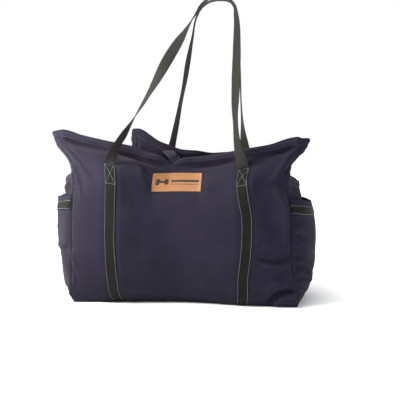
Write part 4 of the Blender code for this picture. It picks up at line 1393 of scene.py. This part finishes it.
def build_sheets():
    """The four panels as fine grids, with everything that is worked into them."""
    runs = {name: webbing_middle(name) for name in WEBBING_RUNS}
    front_runs = [runs["front_left"], runs["front_right"]]
    back_runs = [runs["back_left"], runs["back_right"]]

    def front_relief(u, v):
        relief = panel_relief(u, v, "front", FRONT_FOLDS, FRONT_NECKS, front_runs, 11)
        return relief * over_rim_magnet(u, v)

    def back_relief(u, v):
        relief = panel_relief(u, v, "back", BACK_FOLDS, BACK_NECKS, back_runs, 17)
        return relief + leaning_rim(u, (1 - v) * PANEL_SIZE[1])

    return {
        "front": sculpted(front, PANEL_GRID, front_relief),
        "back": sculpted(back, PANEL_GRID, back_relief),
        "left_end": sculpted(left_end, END_GRID, lambda u, v: end_relief(u, v, LEFT_END_FOLDS, 23)),
        "right_end": sculpted(right_end, END_GRID, lambda u, v: end_relief(u, v, RIGHT_END_FOLDS, 29)),
    }


def build_bag():
    """Every finish and every piece of the bag."""
    navy = canvas_finish("navy_canvas_weave", (0.011, 0.0096, 0.02), (0.0215, 0.019, 0.035))
    lining = canvas_finish("grey_lining_weave", (0.045, 0.045, 0.05), (0.085, 0.085, 0.092), 0.0009)
    quilting = canvas_finish("quilted_mat_weave", (0.055, 0.055, 0.06), (0.105, 0.105, 0.112), 0.0009)
    webbing = webbing_finish("black_webbing_weave", (0.0045, 0.0042, 0.0038), (0.0145, 0.0137, 0.0125))
    # The handles are the same black webbing in lighter colours: painted sheen and glare where they catch
    # the light
    painted_sheen_handle_webbing = webbing_finish("painted_sheen_handle_webbing_weave", (0.0155, 0.0148, 0.0138), (0.045, 0.043, 0.04))
    teal = thread_finish("teal_thread", (0.1, 0.155, 0.17), (0.23, 0.31, 0.33))
    dark = thread_finish("navy_thread", (0.022, 0.021, 0.034), (0.062, 0.06, 0.082))
    tan = thread_finish("tan_thread", (0.36, 0.2, 0.1), (0.6, 0.38, 0.2))
    leather = leather_finish("tan_label_leather")
    board = hard_finish("black_board_grain", (0.01, 0.01, 0.011), (0.03, 0.03, 0.032), 0.55)
    steel = hard_finish("brushed_steel", (0.4, 0.4, 0.42), (0.58, 0.58, 0.6), 0.3, 1.0,
                        (200.0, 20.0, 200.0))
    sheets = build_sheets()
    build_panels(sheets, navy)
    build_edges(sheets, navy)
    build_corner_seams(navy)
    build_base(navy)
    build_mat(quilting, webbing)
    build_linings(sheets, lining)
    build_facings(sheets, navy)
    build_webbing(sheets, webbing, teal)
    build_handles(painted_sheen_handle_webbing)
    build_pockets(sheets, navy, webbing, teal, dark)
    build_canvas_stitches(sheets, dark)
    build_label(sheets["front"], leather, tan)
    build_tab(navy, dark)
    dress_cad_nodes({"base_board": board, "tab_magnet": steel, "rim_magnet": steel})


def add_area_light(name, place, target, size, watts, color=(1.0, 1.0, 1.0)):
    """A round, soft lamp that faces its target."""
    lamp = bpy.data.lights.new(name, "AREA")
    lamp.shape = "DISK"
    lamp.size = size
    lamp.energy = watts
    lamp.color = color
    made = bpy.data.objects.new(name, lamp)
    made.location = place
    made.rotation_euler = (Vector(target) - Vector(place)).to_track_quat("-Z", "Y").to_euler()
    bpy.context.scene.collection.objects.link(made)


def build_stage():
    """A near-white floor that glows, more strongly away from the bag so that its shadow fades out, a key
    light above and to the left, and two low fills: warm left, cool right.
    """
    floor = bpy.data.meshes.new("floor")
    reach = 6.0
    floor.from_pydata([(-reach, -reach, FLOOR), (reach, -reach, FLOOR), (reach, reach, FLOOR),
                       (-reach, reach, FLOOR)], [], [(0, 1, 2, 3)])
    paper = Finish("glowing_studio_floor", Specular_IOR_Level=0.1)
    tone = paper.noise(paper.place(), 2.0, 2.0)
    paper.color(paper.blend(tone, (0.86, 0.86, 0.86), (0.9, 0.9, 0.9)))
    paper.rough(tone, 0.85, 0.95)
    away = paper.node("ShaderNodeVectorMath", {0: paper.place()}, operation="LENGTH").outputs["Value"]
    # Painted light: the floor glows, weakly under the bag and more strongly farther off, which washes out
    # the bag's shadow on it
    paper.shader.inputs["Emission Color"].default_value = (1.0, 1.0, 1.0, 1.0)
    paper.connect(paper.remap(away, 0.0, 0.9, 0.24, 0.5), "Emission Strength")
    floor.materials.append(paper.material)
    piece = bpy.data.objects.new("floor", floor)
    bpy.context.scene.collection.objects.link(piece)
    add_area_light("key_light", (-0.75, -0.55, 1.6), target=(-0.05, 0.0, 0.2), size=0.6, watts=18.5)
    add_area_light("left_fill", (-0.5, -0.29, 0.53), target=(-0.29, -0.09, 0.33), size=0.22,
                   watts=6.6, color=(1.0, 0.94, 0.76))
    add_area_light("right_fill", (0.95, -1.15, 0.55), target=(0.26, -0.05, 0.15), size=0.35,
                   watts=2.6, color=(0.7, 0.8, 1.0))
    build_surround()


def build_surround():
    """A studio's soft light: bright above and to the left, dim elsewhere, and plain white to look at."""
    world = bpy.data.worlds.new("surround")
    world.use_nodes = True
    tree = world.node_tree
    white, brightest = (1.0, 1.0, 1.0, 1.0), (-0.42, -0.1, 0.9)
    light = tree.nodes["Background"]
    light.inputs["Color"].default_value = white
    backdrop = add_node(tree, "ShaderNodeBackground", {"Color": white, "Strength": 1.0})
    direction = add_node(tree, "ShaderNodeTexCoord").outputs["Generated"]
    toward = add_node(tree, "ShaderNodeVectorMath", {0: direction, 1: brightest}, operation="DOT_PRODUCT")
    ranges = {"From Min": -0.25, "From Max": 0.95, "To Min": 0.08, "To Max": 1.0}
    strength = add_node(tree, "ShaderNodeMapRange", {"Value": toward.outputs["Value"], **ranges},
                        interpolation_type="SMOOTHSTEP")
    tree.links.new(strength.outputs[0], light.inputs["Strength"])
    seen = add_node(tree, "ShaderNodeLightPath").outputs["Is Camera Ray"]
    shown = add_node(tree, "ShaderNodeMixShader", {0: seen, 1: light.outputs[0], 2: backdrop.outputs[0]})
    tree.links.new(shown.outputs[0], tree.nodes["World Output"].inputs["Surface"])
    bpy.context.scene.world = world
    bpy.context.scene.view_settings.view_transform = "Standard"


def build_camera():
    """The camera, aimed from its direction and distance."""
    azimuth, elevation = math.radians(CAMERA_AZIMUTH), math.radians(CAMERA_ELEVATION)
    back_way = Vector((math.sin(azimuth) * math.cos(elevation), -math.cos(azimuth) * math.cos(elevation),
                       math.sin(elevation)))
    camera = bpy.data.objects.new("camera", bpy.data.cameras.new("camera"))
    camera.location = Vector(CAMERA_AIM) + back_way * CAMERA_DISTANCE
    camera.rotation_euler = (-back_way).to_track_quat("-Z", "Y").to_euler()
    camera.data.sensor_width = 36.0
    camera.data.lens = CAMERA_LENS
    bpy.context.scene.collection.objects.link(camera)
    bpy.context.scene.camera = camera


build_bag()
build_stage()
build_camera()
